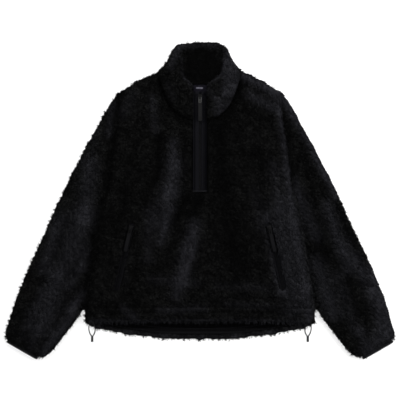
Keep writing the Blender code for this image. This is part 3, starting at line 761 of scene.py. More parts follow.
@dataclass
class Pile:
    """The locks that stand on one piece of fleece. Angles are in degrees."""

    curls: Curls
    nap: Plan
    spacing: dict[Side, float]
    length: float = 9.5 * MM
    width: float = 1.25 * MM
    flatness: float = 0.85
    gather: float = 0.3
    belly: float = 0.55
    root_depth: float = 1.2 * MM
    lowest: float = 0.15 * MM
    under_height: float = 6 * MM
    lift: float = 36
    lift_spread: float = 9
    side_lift: float = 12
    hook: float = 45
    hook_spread: float = 18
    parts: int = 1
    seed: int = 1

    def grow(
        self, name: str, ground: Ground, template: tuple[np.ndarray, np.ndarray]
    ) -> list[bpy.types.Object]:
        """Grows locks on every face of the ground that shows.

        Args:
            name: The name of the new piece.
            ground: The knitted ground.
            template: One lock's points and triangles.

        Returns:
            The pile, as one joined mesh or more, side by side.
        """
        rng = np.random.default_rng(self.seed)
        under = (ground.normals[:, 2] < -0.5) & (ground.centres[:, 2] < self.under_height)
        sideways = smooth_rise(1.4 * (1 - np.abs(ground.normals[:, 2])))
        spacing = np.where(under, self.spacing[Side.UNDER], self.spacing[Side.UP]) * (1 - 0.22 * sideways)
        counts = np.floor(ground.areas / spacing**2 + rng.random(len(spacing))).astype(int)
        counts[~ground.shows] = 0

        # Where each lock stands
        faces = np.repeat(np.arange(len(counts)), counts)
        normals, under, sideways = ground.normals[faces], under[faces], sideways[faces]
        jitter = rng.uniform(-0.5, 0.5, (len(faces), 3)) * np.sqrt(ground.areas[faces])[:, None]
        roots = ground.centres[faces] + along_cloth(jitter, normals)
        brushed_and_lit = ground.brushed_and_lit[faces]
        loose = 1 - brushed_and_lit[:, None]
        size = ground.size[faces] * rng.uniform(0.7, 1.2, len(faces))

        # Which way it heads: with the nap where it is brushed, and round its clump where it is loose
        away, light = self.curls.nearest(roots[:, :2])
        reach = np.linalg.norm(away, axis=1)[:, None] / self.curls.spacing
        swirl = unit(np.stack([-away[:, 1], away[:, 0]], 1) - 0.7 * away) * smooth_rise(reach * 3)
        heading = np.array(self.nap) * (0.3 + 1.6 * brushed_and_lit[:, None]) + swirl * (0.15 + loose)
        heading += rng.normal(0, 0.3, heading.shape) * (0.35 + 0.65 * loose)
        flat = unit(along_cloth(np.column_stack([heading, np.zeros(len(heading))]), normals))
        across = np.cross(normals, flat)

        # How it lifts off the cloth, and hooks to one side from its knee to its tip
        lift = rng.normal(self.lift, self.lift_spread, len(faces)) * (1 - 0.6 * brushed_and_lit)
        lift = lift + self.side_lift * sideways
        lift = np.radians(lift) * np.where(under, 0.25, 1)
        hook = rng.choice([-1, 1], len(faces)) * self.hook + rng.normal(0, self.hook_spread, len(faces))
        length = self.length * size * (1 + 0.2 * brushed_and_lit) * (1 - 0.55 * sideways)
        width = self.width * np.sqrt(size) * rng.uniform(0.75, 1.15, len(faces))
        stem = turned(flat, normals, lift)
        bent = turned(flat, across, np.radians(hook) * (1 - 0.75 * brushed_and_lit))
        end = turned(bent, normals, lift * 0.35 - 0.2 + 0.3 * sideways)
        root = roots - normals * self.root_depth
        knee = root + stem * (self.belly * length)[:, None]
        tip = knee + end * ((1 - self.belly) * length)[:, None]
        drawn = self.gather * np.clip(1.5 - reach, 0, 1) * loose * (1 - 0.8 * sideways[:, None])
        inward = -np.column_stack([away, np.zeros(len(away))]) * drawn
        inward[under] *= 0.3
        knee += 0.4 * inward
        tip += inward

        # Its points, and the shades that the finish reads, which paint shade and highlights into the colour
        points, triangles = template
        rise = points[:, 2]
        line = np.stack([root, knee, tip], 1)[:, np.round(rise * 2 + 1).astype(int)]
        places = line + across[:, None] * (points[:, 0] * width[:, None])[..., None]
        thick = np.cross(stem, across)
        places += thick[:, None] * (points[:, 1] * self.flatness * width[:, None])[..., None]
        places[..., 2] = np.maximum(places[..., 2], self.lowest)
        own = 0.08 + 0.85 * rng.random(len(faces)) ** 2 + 0.35 * light**1.5
        # Painted shade: darker in the opening, along seams and in shaded stretches.
        own = own * (1 - 0.85 * ground.shade[faces])
        # Painted shade and light: lighter on clump tops and towards the tips, darker at the roots and between
        # clumps.
        dome = np.clip(1 - (reach[:, 0] / 0.62) ** 2, 0, 1)
        shades = np.ones((len(faces), len(points), 4))
        shades[..., 0] = 0.08 + 0.52 * dome[:, None] + 0.4 * (rise[None] + 0.5)
        shades[..., 1] = brushed_and_lit[:, None]
        shades[..., 2] = own[:, None]

        order = np.argsort(roots[:, 0], kind="stable")
        pieces = []
        for part, chosen in enumerate(np.array_split(order, self.parts)):
            label = name if self.parts == 1 else f"{name}_{part + 1}"
            pieces.append(object_of(label, places[chosen], triangles))
            write_shades(pieces[-1], shades[chosen])
        return pieces


def write_shades(obj: bpy.types.Object, shades: np.ndarray) -> None:
    """Stores on a mesh's points the pile's height, which paints shade at the roots and between the clumps, how
    flat it lies, which paints highlights, and its own shade, random tone with painted shade.
    """
    layer = obj.data.attributes.new("pile", "FLOAT_COLOR", "POINT")
    layer.data.foreach_set("color", shades.astype(np.float32).ravel())


@dataclass
class FleecePiece:
    """One cut piece of fleece: its knitted ground as a thin shell on its solid's form, and its pile."""

    node: str
    flat: Plan
    area: float
    held: str
    rests_on: tuple[str, ...]
    pile: Pile
    creases: tuple[Stroke, ...] = ()
    under_creases: tuple[Stroke, ...] = ()
    # Brushing strokes also lay painted highlights on the colour.
    brushing_and_highlights: tuple[Stroke, ...] = ()
    # Also darkens the ground as painted shade.
    flattened: tuple[Stroke, ...] = ()
    joins: tuple[Stroke, ...] = ()
    sunken: tuple[Stroke, ...] = ()
    shaded: tuple[Stroke, ...] = ()
    swells: tuple[Stroke, ...] = ()
    sunken_below: float = 13 * MM
    side_inset_share: float = 0.3
    seam_overlap: float = 2.2 * MM
    dome_height: float = 1.5 * MM
    wave_height: float = 1.1 * MM
    wave_length: float = 38 * MM
    voxel: float = 3.6 * MM
    inset: float = 2.0 * MM
    smoothing: int = 22
    hidden_share: float = 0.2
    covered_by: float = 9 * MM
    folded_by: float = 7 * MM
    tube_end: tuple[Vector, Vector] | None = None
    wall: float = 5 * MM
    thinnest_wall_share: float = 0.36
    lining_share: float = 0.12

    def build(self, finishes: Finishes, template: tuple[np.ndarray, np.ndarray]) -> None:
        """Args:
            finishes: The garment's finishes.
            template: One lock's points and triangles.
        """
        obj = copy_of(self.node, f"{self.node}_ground")
        if self.tube_end:
            self._fill_tube(obj)
        finish_with(obj, "REMESH", mode="VOXEL", voxel_size=self.voxel, use_smooth_shade=True)
        self._ease(obj)
        self._thin_out(obj, self._shape(obj))
        piles = self.pile.grow(f"{self.node}_pile", self._ground(obj), template)
        if self.tube_end:
            self._hollow(obj)
        self._shade(obj)
        obj.data.shade_smooth()
        for piece in (obj, *piles):
            dressed(piece, finishes.fleece, "fleece")
        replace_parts(obj, self.node)
        log.info("%s: %s faces", self.node, [len(piece.data.polygons) for piece in (obj, *piles)])

    def _fill_tube(self, obj: bpy.types.Object) -> None:
        """Takes the inner wall out of a flattened tube, which leaves one closed form."""
        tree, start, near = tree_of(obj.data), 0.01 * MM, 3 * MM
        choose(obj)
        select_faces(obj, lambda f: tree.ray_cast(f.center + f.normal * start, f.normal, near)[0] is not None)
        with edit_mode():
            bpy.ops.mesh.delete(type="FACE")
            bpy.ops.mesh.select_all(action="SELECT")
            bpy.ops.mesh.fill_holes(sides=0)
            turn_outwards()

    def _ease(self, obj: bpy.types.Object) -> None:
        """Smooths the heights of the broad faces, so that only the cloth's own folds are left."""
        broad = smooth_rise((np.abs(read(obj.data.vertices, "normal", 3)[:, 2]) - 0.45) / 0.4)
        group = obj.vertex_groups.new(name="broad")
        for share in (0.25, 0.5, 0.75, 1.0):
            chosen = np.flatnonzero((broad > share - 0.25) & (broad <= share))
            group.add(chosen.tolist(), share, "REPLACE")
        settings = {"factor": 0.8, "iterations": self.smoothing, "vertex_group": group.name}
        finish_with(obj, "SMOOTH", use_x=False, use_y=False, **settings)
        obj.vertex_groups.clear()

    def _shape(self, obj: bpy.types.Object) -> np.ndarray:
        """Draws the ground in under its pile, and gives it its creases and the domes of its clumps.

        Args:
            obj: The ground.

        Returns:
            Which points show.
        """
        mesh = obj.data
        places, normals = read(mesh.vertices, "co", 3), read(mesh.vertices, "normal", 3)
        shows = self._exposed(obj, places, normals)
        plan = places[:, :2]
        sideways = 1 - np.abs(normals[:, 2])
        beside = np.clip(strongest(self.joins, plan), 0, 1) * smooth_rise(sideways * 2)
        drawn_in = self.inset * shows * (1 - beside) * (1 - (1 - self.side_inset_share) * sideways)
        up = smooth_rise((normals[:, 2] - 0.1) / 0.5) * shows
        under = smooth_rise((-normals[:, 2] - 0.3) / 0.5) * shows
        dome = self.dome_height * (self.pile.curls.domes(plan) - 0.4) * (1 - 0.7 * self._brushed_and_lit(places))
        waves = np.array([noise.noise(Vector((x, y, 0)) / self.wave_length) for x, y in plan])
        waves = waves * self.wave_height
        places -= normals * drawn_in[:, None]
        outwards = self.seam_overlap * beside + added(self.swells, plan) * MM
        places[:, :2] += normals[:, :2] * outwards[:, None]
        places += normals * (dome * shows * (up + 0.4 * sideways))[:, None]
        places[:, 2] += up * (added(self.creases, plan) * MM + waves)
        places[:, 2] += under * np.maximum(0, added(self.under_creases, plan)) * MM
        places[:, 2] = np.maximum(places[:, 2], 0)
        place_points(obj, places)
        return shows > 0.5

    def _exposed(self, obj: bpy.types.Object, places: np.ndarray, normals: np.ndarray) -> np.ndarray:
        """Whether each point can be seen past the other pieces of the garment, and past the piece itself."""
        points, faces = [], []
        for name, node in frame["nodes"].items():
            if name != self.node and not name.startswith(("front_pull", "pocket_pull")):
                start = len(points)
                points += [v.co for v in node.data.vertices]
                faces += [[start + i for i in p.vertices] for p in node.data.polygons]
        others, own = BVHTree.FromPolygons(points, faces), tree_of(obj.data)
        shows = np.ones(len(places))
        for i, (place, normal) in enumerate(zip(places, normals, strict=True)):
            start, way = Vector(place), Vector(normal)
            covered = others.ray_cast(start - way * MM, way, self.covered_by)[0]
            if covered or own.ray_cast(start + way * MM, way, self.folded_by)[0]:
                shows[i] = 0.0
        return shows

    def _brushed_and_lit(self, places: np.ndarray) -> np.ndarray:
        """How far the pile lies flat at each place, from 0 to 1; the same share lays a painted sheen highlight
        on its colour.
        """
        return np.clip(added(self.brushing_and_highlights, places[:, :2]), 0, 1) * (1 - self._sunken(places))

    def _sunken(self, places: np.ndarray) -> np.ndarray:
        """How far each place lies in the shade of the opening, from 0 to 1."""
        low = smooth_rise((self.sunken_below - places[:, 2]) / (1.5 * MM))
        return np.clip(strongest(self.sunken, places[:, :2]), 0, 1) * low

    def _shade_share(self, places: np.ndarray) -> np.ndarray:
        """How much painted shade darkens the pile at each place, in the opening, along the seams and in the
        shaded stretches, from 0 to 1.
        """
        painted_shade = np.clip(strongest((*self.shaded, *SEAM_SHADE), places[:, :2]), 0, 1)
        return np.maximum(self._sunken(places), painted_shade)

    def _pressed_and_shaded(self, plan: np.ndarray) -> np.ndarray:
        """How far the pile is held down by sewing at each plan place, from 0 to 1; the same share darkens the
        ground as painted shade.
        """
        return np.clip(strongest((*self.flattened, *SEAM_PRESS_AND_SHADE), plan), 0, 1)

    def _thin_out(self, obj: bpy.types.Object, shows: np.ndarray) -> None:
        """Leaves fewer faces where the cloth is covered."""
        group = obj.vertex_groups.new(name="covered")
        group.add(np.flatnonzero(~shows).tolist(), 1.0, "REPLACE")
        covered = (~shows).mean()
        if covered > 0.02:
            ratio = 1 - covered * (1 - self.hidden_share)
            finish_with(obj, "DECIMATE", ratio=ratio, vertex_group=group.name, vertex_group_factor=10)
        obj.vertex_groups.clear()

    def _ground(self, obj: bpy.types.Object) -> Ground:
        """Reads the ground's faces."""
        faces = obj.data.polygons
        centres, normals = read(faces, "center", 3), read(faces, "normal", 3)
        shows = self._exposed(obj, centres, normals) > 0.5
        size = (1 - 0.75 * self._pressed_and_shaded(centres[:, :2])) * (1 - 0.45 * self._sunken(centres))
        shade = self._shade_share(centres)
        return Ground(centres, normals, read(faces, "area"), shows, self._brushed_and_lit(centres), size, shade)

    def _hollow(self, obj: bpy.types.Object) -> None:
        """Gives a filled tube its inner wall again, open at the cuff."""
        tree = tree_of(obj.data)
        lining = linked("lining", obj.data.copy())
        finish_with(lining, "DECIMATE", ratio=self.lining_share)
        places, normals = read(lining.data.vertices, "co", 3), read(lining.data.vertices, "normal", 3)
        for i, (place, normal) in enumerate(zip(places, normals, strict=True)):
            start, way = Vector(place), -Vector(normal)
            far = tree.ray_cast(start + way * MM, way, 1.0)[3] or 0.0
            places[i] = start + way * min(self.wall, self.thinnest_wall_share * far)
        place_points(lining, places)
        lining.data.flip_normals()
        join(obj, lining)
        middle, way = self.tube_end
        with edit_mode("EDGE"):
            bpy.ops.mesh.select_all(action="SELECT")
            bpy.ops.mesh.bisect(plane_co=middle, plane_no=way, clear_outer=True)
            bpy.ops.mesh.select_all(action="DESELECT")
            bpy.ops.mesh.select_non_manifold(
                extend=False, use_wire=False, use_multi_face=False, use_verts=False
            )
            bpy.ops.mesh.bridge_edge_loops()

    def _shade(self, obj: bpy.types.Object) -> None:
        """Stores on the ground the pile's height, how flat it lies and its own shade, which paint shade between
        the clumps, highlights where it lies flat, and shade in the opening, along seams and in shaded
        stretches.
        """
        places = read(obj.data.vertices, "co", 3)
        plan = places[:, :2]
        light = self.pile.curls.nearest(plan)[1]
        shades = np.ones((len(plan), 4))
        # Painted shade between the clumps, lighter on their tops.
        shades[:, 0] = 0.2 + 0.42 * self.pile.curls.domes(plan)
        shades[:, 1] = self._brushed_and_lit(places)
        # Painted shade in the opening, along seams and in shaded stretches, over random tone.
        shades[:, 2] = (0.35 + 0.5 * light**1.5) * (1 - 0.85 * self._shade_share(places))
        # Painted shade along the sewn lines.
        shades[:, 2] *= 1 - 0.8 * self._pressed_and_shaded(plan)
        write_shades(obj, shades)


# Plan lines of the garment, in millimetres
ARMHOLE = [(210, 27), (206, 59), (195, 137), (185, 189), (180, 246)]
NECK = [(0, 184), (16.6, 184), (38.4, 191.2), (60.6, 210.2), (77.8, 243.4), (88, 273), (93, 293)]
HEM_CHANNEL = [(-250, -240), (-120, -238.5), (0, -238), (120, -238.5), (250, -240)]
HEM_STITCH = [(-250, -252.5), (-120, -251), (0, -250.5), (120, -251), (250, -252.5)]
POCKET = [(153, -50), (188, -200)]

SEAMS = both(ARMHOLE, 7, -2.4) + both(NECK, 7, -2.6)
# The sewn lines flatten the pile and darken the ground as painted shade.
SEAM_PRESS_AND_SHADE = both(ARMHOLE, 4.5, 0.75) + both(NECK, 5, 0.9)
SEAM_SHADE = both(ARMHOLE, 6, 0.5) + both(NECK, 7, 0.75)
UNDERARM = [(210, 27), (217, 0), (221, -16), (226, -46), (240, -144), (252, -206), (258, -240)]
SHOULDER_SWELLS = (
    *path([(94, 302), (115, 284), (145, 270), (172, 252)], 14, 3.6),
    *path([(-115, 284), (-145, 270), (-172, 252)], 14, 3.4),
)
BACK_HEM = [
    (-250, -268), (-232, -284), (-160, -297), (-80, -304), (0, -308),
    (80, -304), (160, -297), (232, -284), (250, -268),
]
BACK_HEM_SWELLS = (
    *path(BACK_HEM, 14, 2.4),
    *strokes(
        (-60, -305, -30, -307, 12, 1.8), (32, -307, 62, -305, 12, 2.6),
    ),
)
NECK_BACK = [(0, 263.2), (22, 265.2), (46, 272), (67, 282.5), (80, 287), (93, 293)]
JOINS = (
    *both(NECK_BACK, 5, 2),
    *both(UNDERARM, 6, 2),
    *both(ARMHOLE, 6, 2),
    *both(NECK, 6, 2),
)

FRONT_CREASES = (
    *SEAMS,
    *path(HEM_CHANNEL, 3.4, -1.7),
    *path(HEM_STITCH, 3.4, -1.7),
    *both(POCKET, 5, -1.6),
    *strokes(
        (-54, 140, -80, -16, 15, 2.2), (-80, -16, -114, -136, 16, 2.0), (-34, 60, -60, -70, 12, -2.4),
        (-60, -70, -96, -160, 14, -2.0), (-8, -50, -36, -226, 13, 2.4), (22, -40, 18, -200, 15, -1.6),
        (-104, 200, -112, 110, 12, 1.6), (-140, 190, -150, 80, 11, -1.6), (112, 60, 120, -40, 12, 1.6),
        (150, 20, 160, -40, 12, -1.8), (178, 190, 190, 60, 11, 1.8), (150, 150, 168, 20, 10, -1.6),
        (196, -80, 222, -230, 12, -1.6), (-196, 0, -208, -150, 12, -1.8),
        (-150, -210, -110, -236, 10, 1.4), (60, -222, 150, -232, 10, 1.6), (20, 4, -30, -2, 9, -1.4),
    ),
)
# Brushed stretches of the front, which also carry painted highlights.
FRONT_BRUSHING_AND_HIGHLIGHTS = strokes(
    (-60, 130, -61, 84, 14, 0.95), (-56, 84, -64, 24, 22, 0.95), (-72, 20, -92, -44, 24, 0.65),
    (-112, -20, -116, -130, 15, 0.45), (-66, -16, -88, -90, 14, 0.85), (-12, -54, -26, -111, 18, 1.0),
    (-18, -90, -34, -170, 16, 0.5), (-28, -111, -52, -208, 19, 0.85),
    (-110, -176, -10, -184, 12, 0.45), (-107, 232, -100, 160, 12, 0.5),
    (-150, 240, -176, 196, 18, 0.3), (180, -20, 212, -236, 34, 0.75), (180, 200, 195, 72, 9, 0.9),
    (166, 80, 180, -10, 16, 0.5), (195, 72, 211, -44, 12, 0.9), (211, -44, 238, -190, 14, 0.9),
    (150, -34, 182, -200, 14, 0.75), (236, -190, 247, -262, 13, 1.0), (84, 290, 170, 246, 12, 1.0),
    (170, 246, 186, 214, 14, 0.9), (112, 240, 178, 206, 14, 0.8), (124, 20, 136, -60, 14, 0.3),
    (40, -190, 150, -196, 12, 0.3), (60, -232, 170, -236, 10, 0.35),
    (-172, -240, -150, -262, 12, 0.5), (10, -240, -90, -246, 12, 0.5),
    (-160, -60, -176, -180, 12, 0.2), (-246, -270, 246, -270, 6, 0.75),
)
FRONT_SHADED = (
    *path([(-26, 176), (-62, 200), (-92, 262)], 15, 0.75),
    *path([(30, 172), (66, 192), (98, 262)], 15, 0.8),
    *strokes(
        (-90, 150, -94, 60, 13, 0.9), (-94, 60, -124, 10, 16, 0.7), (-40, 160, -34, 60, 12, 0.6),
        (-24, 110, -20, 20, 12, 0.4), (-30, 10, -50, -34, 15, 0.85), (0, 14, -22, -34, 20, 0.85),
        (-50, -70, -62, -110, 9, 0.6), (-50, -120, -74, -170, 9, 0.4), (-212, 20, -224, -120, 14, 0.6),
        (-164, 30, -176, -60, 22, 0.55), (-140, 150, -160, 60, 24, 0.3), (-120, 100, -140, 60, 14, 0.4),
        (-140, -150, -150, -200, 18, 0.35), (44, 180, 52, 20, 34, 0.8), (60, 0, 90, -160, 36, 0.7),
        (84, 180, 94, 150, 22, 0.5), (108, 204, 158, 176, 12, 0.7), (90, 110, 150, 90, 26, 0.5),
        (120, 20, 130, -10, 20, 0.4), (122, -60, 140, -150, 14, 0.4), (206, -180, 206, -250, 9, 0.5),
        (-160, 10, -210, -30, 18, 0.4), (160, -226, 176, -226, 10, 0.5),
    ),
    *path([(-174, 246), (-184, 189), (-193, 137), (-203, 59), (-208, 27)], 9, 0.85),
    *path([(-208, 27), (-219, -13), (-231, -81), (-240, -144), (-251, -211), (-257, -260)], 10, 0.8),
)
# Sewn lines on the front, which also darken the ground as painted shade.
FRONT_FLATTENED_AND_SHADED = (
    *path(HEM_CHANNEL, 3.5, 0.9),
    *path(HEM_STITCH, 3.5, 0.9),
    *both(POCKET, 8, 0.95),
    *both([(-17, 20), (-17, 245)], 7, 1.0),
    *path([(-22, 18), (22, 18)], 7, 1.0),
)
SLEEVE_CREASES_LEFT = (
    *SEAMS,
    *strokes(
        (-244, 100, -262, -40, 12, -2.4), (-280, 0, -318, -96, 12, -3.0),
        (-316, -110, -352, -190, 12, -2.6), (-268, 60, -334, -140, 22, 2.0),
        (-340, -180, -356, -282, 18, 2.0), (-284, -168, -292, -176, 9, -3.0),
        (-262, -120, -268, -160, 10, -2.0), (-388, -210, -410, -290, 10, -1.8),
        (-308, -240, -340, -296, 10, -1.8),
    ),
)
SLEEVE_CREASES_RIGHT = (
    *SEAMS,
    *strokes(
        (236, 90, 258, -60, 14, -2.6), (262, 40, 296, -60, 16, 1.8), (268, -84, 276, -96, 12, -3.2),
        (312, -112, 340, -190, 10, -3.0), (334, -96, 372, -180, 18, 2.2),
        (350, -184, 384, -196, 12, -2.6), (300, -206, 330, -262, 14, 2.0),
        (402, -306, 405, -322, 6, -3.2), (420, -290, 425, -302, 6, -3.2), (388, -250, 404, -280, 8, -2.0),
    ),
)
SLEEVE_SWELLS_LEFT = (
    *path([(-186, 238), (-215, 192), (-253, 125)], 12, 1.7),
    *path([(-253, 125), (-289, 57)], 12, 2.3),
    *path([(-289, 57), (-318, -10), (-338, -56)], 12, 1.5),
)
SLEEVE_SWELLS_RIGHT = (
    *path([(186, 238), (215, 192)], 12, 2.1),
    *path([(215, 192), (253, 125)], 12, 1.1),
    *path([(253, 125), (289, 57), (318, -10)], 12, 1.6),
    *path([(368, -111), (384, -150), (412, -213), (424, -246)], 12, 1.4),
)
# Brushed stretches of the left sleeve, which also carry painted highlights.
SLEEVE_BRUSHING_AND_HIGHLIGHTS_LEFT = strokes(
    (-236, 160, -250, 90, 20, 0.2), (-246, 84, -256, -30, 24, 0.75), (-316, -40, -350, -150, 18, 0.7),
    (-268, -40, -290, -120, 36, 0.75), (-256, -110, -262, -150, 14, 0.5),
    (-316, -160, -350, -280, 30, 0.9), (-196, 220, -206, 150, 8, 0.6),
    (-270, -150, -290, -190, 12, 0.5), (-352, -200, -384, -280, 12, 0.5),
    (-262, -210, -290, -240, 14, 1.0), (-286, -254, -352, -340, 13, 1.0),
    (-366, -290, -380, -330, 16, 0.5), (-384, -240, -400, -310, 14, 0.2),
)
SLEEVE_SHADED_LEFT = (
    *path([(-188, 240), (-192, 189), (-201, 137), (-212, 62), (-217, 22)], 6, 0.8),
    *strokes(
        (-266, -86, -276, -140, 10, 0.5), (-226, -40, -262, -24, 9, 0.5), (-298, -40, -318, -100, 7, 0.6),
        (-318, -100, -360, -184, 8, 0.6), (-262, -150, -300, -166, 10, 0.65),
        (-316, -150, -330, -200, 8, 0.5), (-340, -240, -350, -300, 8, 0.6),
        (-262, 130, -300, 30, 14, 0.45), (-400, -260, -424, -322, 10, 0.45),
    ),
)
# Brushed stretches of the right sleeve, which also carry painted highlights.
SLEEVE_BRUSHING_AND_HIGHLIGHTS_RIGHT = strokes(
    (186, 236, 212, 196, 13, 1.0), (210, 196, 288, 52, 12, 0.9), (262, 100, 304, 12, 11, 0.9),
    (286, -10, 332, -150, 18, 0.8), (216, 50, 238, -150, 8, 0.5), (220, 20, 262, -80, 18, 0.7),
    (330, -100, 368, -170, 18, 0.4), (350, -130, 384, -200, 18, 0.45),
    (262, -140, 300, -252, 23, 0.85), (384, -150, 420, -260, 12, 0.9),
    (390, -204, 424, -300, 24, 0.8), (384, -344, 430, -250, 26, 1.0), (360, -290, 376, -340, 14, 0.6),
    (308, -170, 350, -290, 18, 0.4),
)
SLEEVE_SHADED_RIGHT = (
    *strokes(
        (300, 6, 372, -170, 8, 0.75), (258, -118, 274, -148, 13, 0.85), (312, -176, 330, -240, 9, 0.55),
    ),
    *path([(188, 240), (192, 189), (201, 137), (212, 62), (222, -13)], 7, 0.6),
    *strokes(
        (228, 150, 240, 60, 12, 0.45), (262, 60, 276, 20, 16, 0.4), (250, -60, 262, -110, 10, 0.5),
        (266, -90, 286, -130, 16, 0.9), (324, -150, 344, -220, 9, 0.75), (340, -200, 354, -262, 10, 0.4),
        (350, -236, 374, -262, 10, 0.5), (402, -306, 406, -324, 5, 0.7), (424, -292, 428, -306, 5, 0.7),
    ),
)
COLLAR_CREASES = strokes(
    (78, 262, 74, 318, 5, -2.6), (70, 240, 64, 300, 6, -1.8), (-70, 262, -72, 310, 5, -2.2),
    (30, 200, 40, 250, 14, 1.4), (-40, 210, -30, 250, 12, 1.4),
)
RIM_LEFT = [(-40, 322), (-39.5, 286), (-33, 276), (-21, 265), (-14, 261)]
RIM_RIGHT = [(55, 322), (53, 302), (48, 285), (39, 278), (19, 265)]
COLLAR_SHADED = strokes(
    (-80, 286, -64, 226, 6, 0.5), (-30, 216, -20, 190, 10, 0.3), (26, 250, 30, 200, 8, 0.3),
)
# Brushed stretches of the collar and its rim, which also carry painted highlights.
COLLAR_BRUSHING_AND_HIGHLIGHTS = (
    *path(RIM_LEFT, 5, 0.6),
    *path(RIM_RIGHT, 5, 0.6),
    *strokes(
        (-44, 351, 44, 351, 7, 0.75), (18, 250, 42, 222, 8, 0.6), (-50, 344, -66, 300, 10, 0.7),
        (-70, 262, -60, 230, 8, 0.3), (64, 340, 80, 286, 11, 1.0), (80, 286, 74, 240, 10, 1.0),
        (66, 222, 40, 200, 9, 0.7), (60, 250, 64, 312, 13, 0.9), (40, 210, 66, 262, 16, 0.55),
        (84, 262, 78, 308, 5, 0.8),
    ),
)


class FleecePieces:
    """Every cut piece of fleece on the garment."""

    def __init__(self) -> None:
        """Names the pieces, their cuts and what is drawn on them."""
        cuff = Vector((0.400, -0.3335, 0.0065))
        along = Vector((0.4346 - 0.3654, -0.3137 + 0.3533, 0)).normalized()
        out = Vector((along.y, -along.x, 0))
        on_back = ("back_panel_ground",)
        on_sleeve = {Side.UP: 2.15 * MM, Side.UNDER: 3.4 * MM}
        self.pieces = [
            FleecePiece(
                "back_panel", (0.522, 0.606), 0.292, "laid", (),
                Pile(Curls(seed=23), (0.1, -0.5), {Side.UP: 2.4 * MM, Side.UNDER: 3.9 * MM}, 7 * MM, seed=2),
                creases=SEAMS, joins=JOINS, swells=SHOULDER_SWELLS + BACK_HEM_SWELLS,
                # The brushing along the back hem is also a painted highlight on its edge.
                brushing_and_highlights=path(BACK_HEM, 11, 0.4), voxel=4.4 * MM,
                under_creases=strokes((-90, 160, -120, -90, 14, 1.2), (100, 60, 120, -150, 16, 1.2)),
            ),
            FleecePiece(
                "front_panel", (0.522, 0.566), 0.268, "laid", on_back,
                Pile(Curls(seed=11), (0.05, -1), {Side.UP: 2.08 * MM, Side.UNDER: 9 * MM}, parts=2, seed=1),
                creases=FRONT_CREASES, brushing_and_highlights=FRONT_BRUSHING_AND_HIGHLIGHTS, shaded=FRONT_SHADED,
                flattened=FRONT_FLATTENED_AND_SHADED, joins=JOINS, swells=SHOULDER_SWELLS,
            ),
            FleecePiece(
                "sleeve_left", (0.44, 0.53), 0.135, "laid", on_back,
                Pile(Curls(seed=31), (-0.5, -0.87), on_sleeve, seed=3),
                creases=SLEEVE_CREASES_LEFT, brushing_and_highlights=SLEEVE_BRUSHING_AND_HIGHLIGHTS_LEFT, shaded=SLEEVE_SHADED_LEFT,
                joins=JOINS, swells=SLEEVE_SWELLS_LEFT,
                tube_end=(Vector((-cuff.x, cuff.y, cuff.z)), Vector((-out.x, out.y, 0))),
            ),
            FleecePiece(
                "sleeve_right", (0.44, 0.53), 0.135, "laid", on_back,
                Pile(Curls(seed=37), (0.5, -0.87), on_sleeve, seed=4),
                creases=SLEEVE_CREASES_RIGHT, brushing_and_highlights=SLEEVE_BRUSHING_AND_HIGHLIGHTS_RIGHT, shaded=SLEEVE_SHADED_RIGHT,
                joins=JOINS, swells=SLEEVE_SWELLS_RIGHT, tube_end=(cuff, out),
            ),
            FleecePiece(
                "collar", (0.46, 0.085), 0.029, "folded", on_back,
                Pile(Curls(seed=41), (0.1, -0.6), {Side.UP: 1.95 * MM, Side.UNDER: 3.2 * MM}, seed=5),
                creases=COLLAR_CREASES, brushing_and_highlights=COLLAR_BRUSHING_AND_HIGHLIGHTS, shaded=COLLAR_SHADED, joins=JOINS,
                sunken=strokes((2, 316, 3, 310, 32, 3), (6, 296, 6, 280, 44, 3)), voxel=3.0 * MM, smoothing=8,
                swells=strokes(
                    (-58, 324, -48, 344, 14, 6.0), (52, 334, 48, 344, 11, 0.6), (-10, 351, 38, 351, 10, 3.4)
                ),
            ),
        ]

    def build(self, finishes: Finishes) -> None:
        """Builds every piece of fleece."""
        template = Lock().template()
        for piece in self.pieces:
            piece.build(finishes, template)


# ---------------------------------------------------------------------------------------------------------
# Hem cords


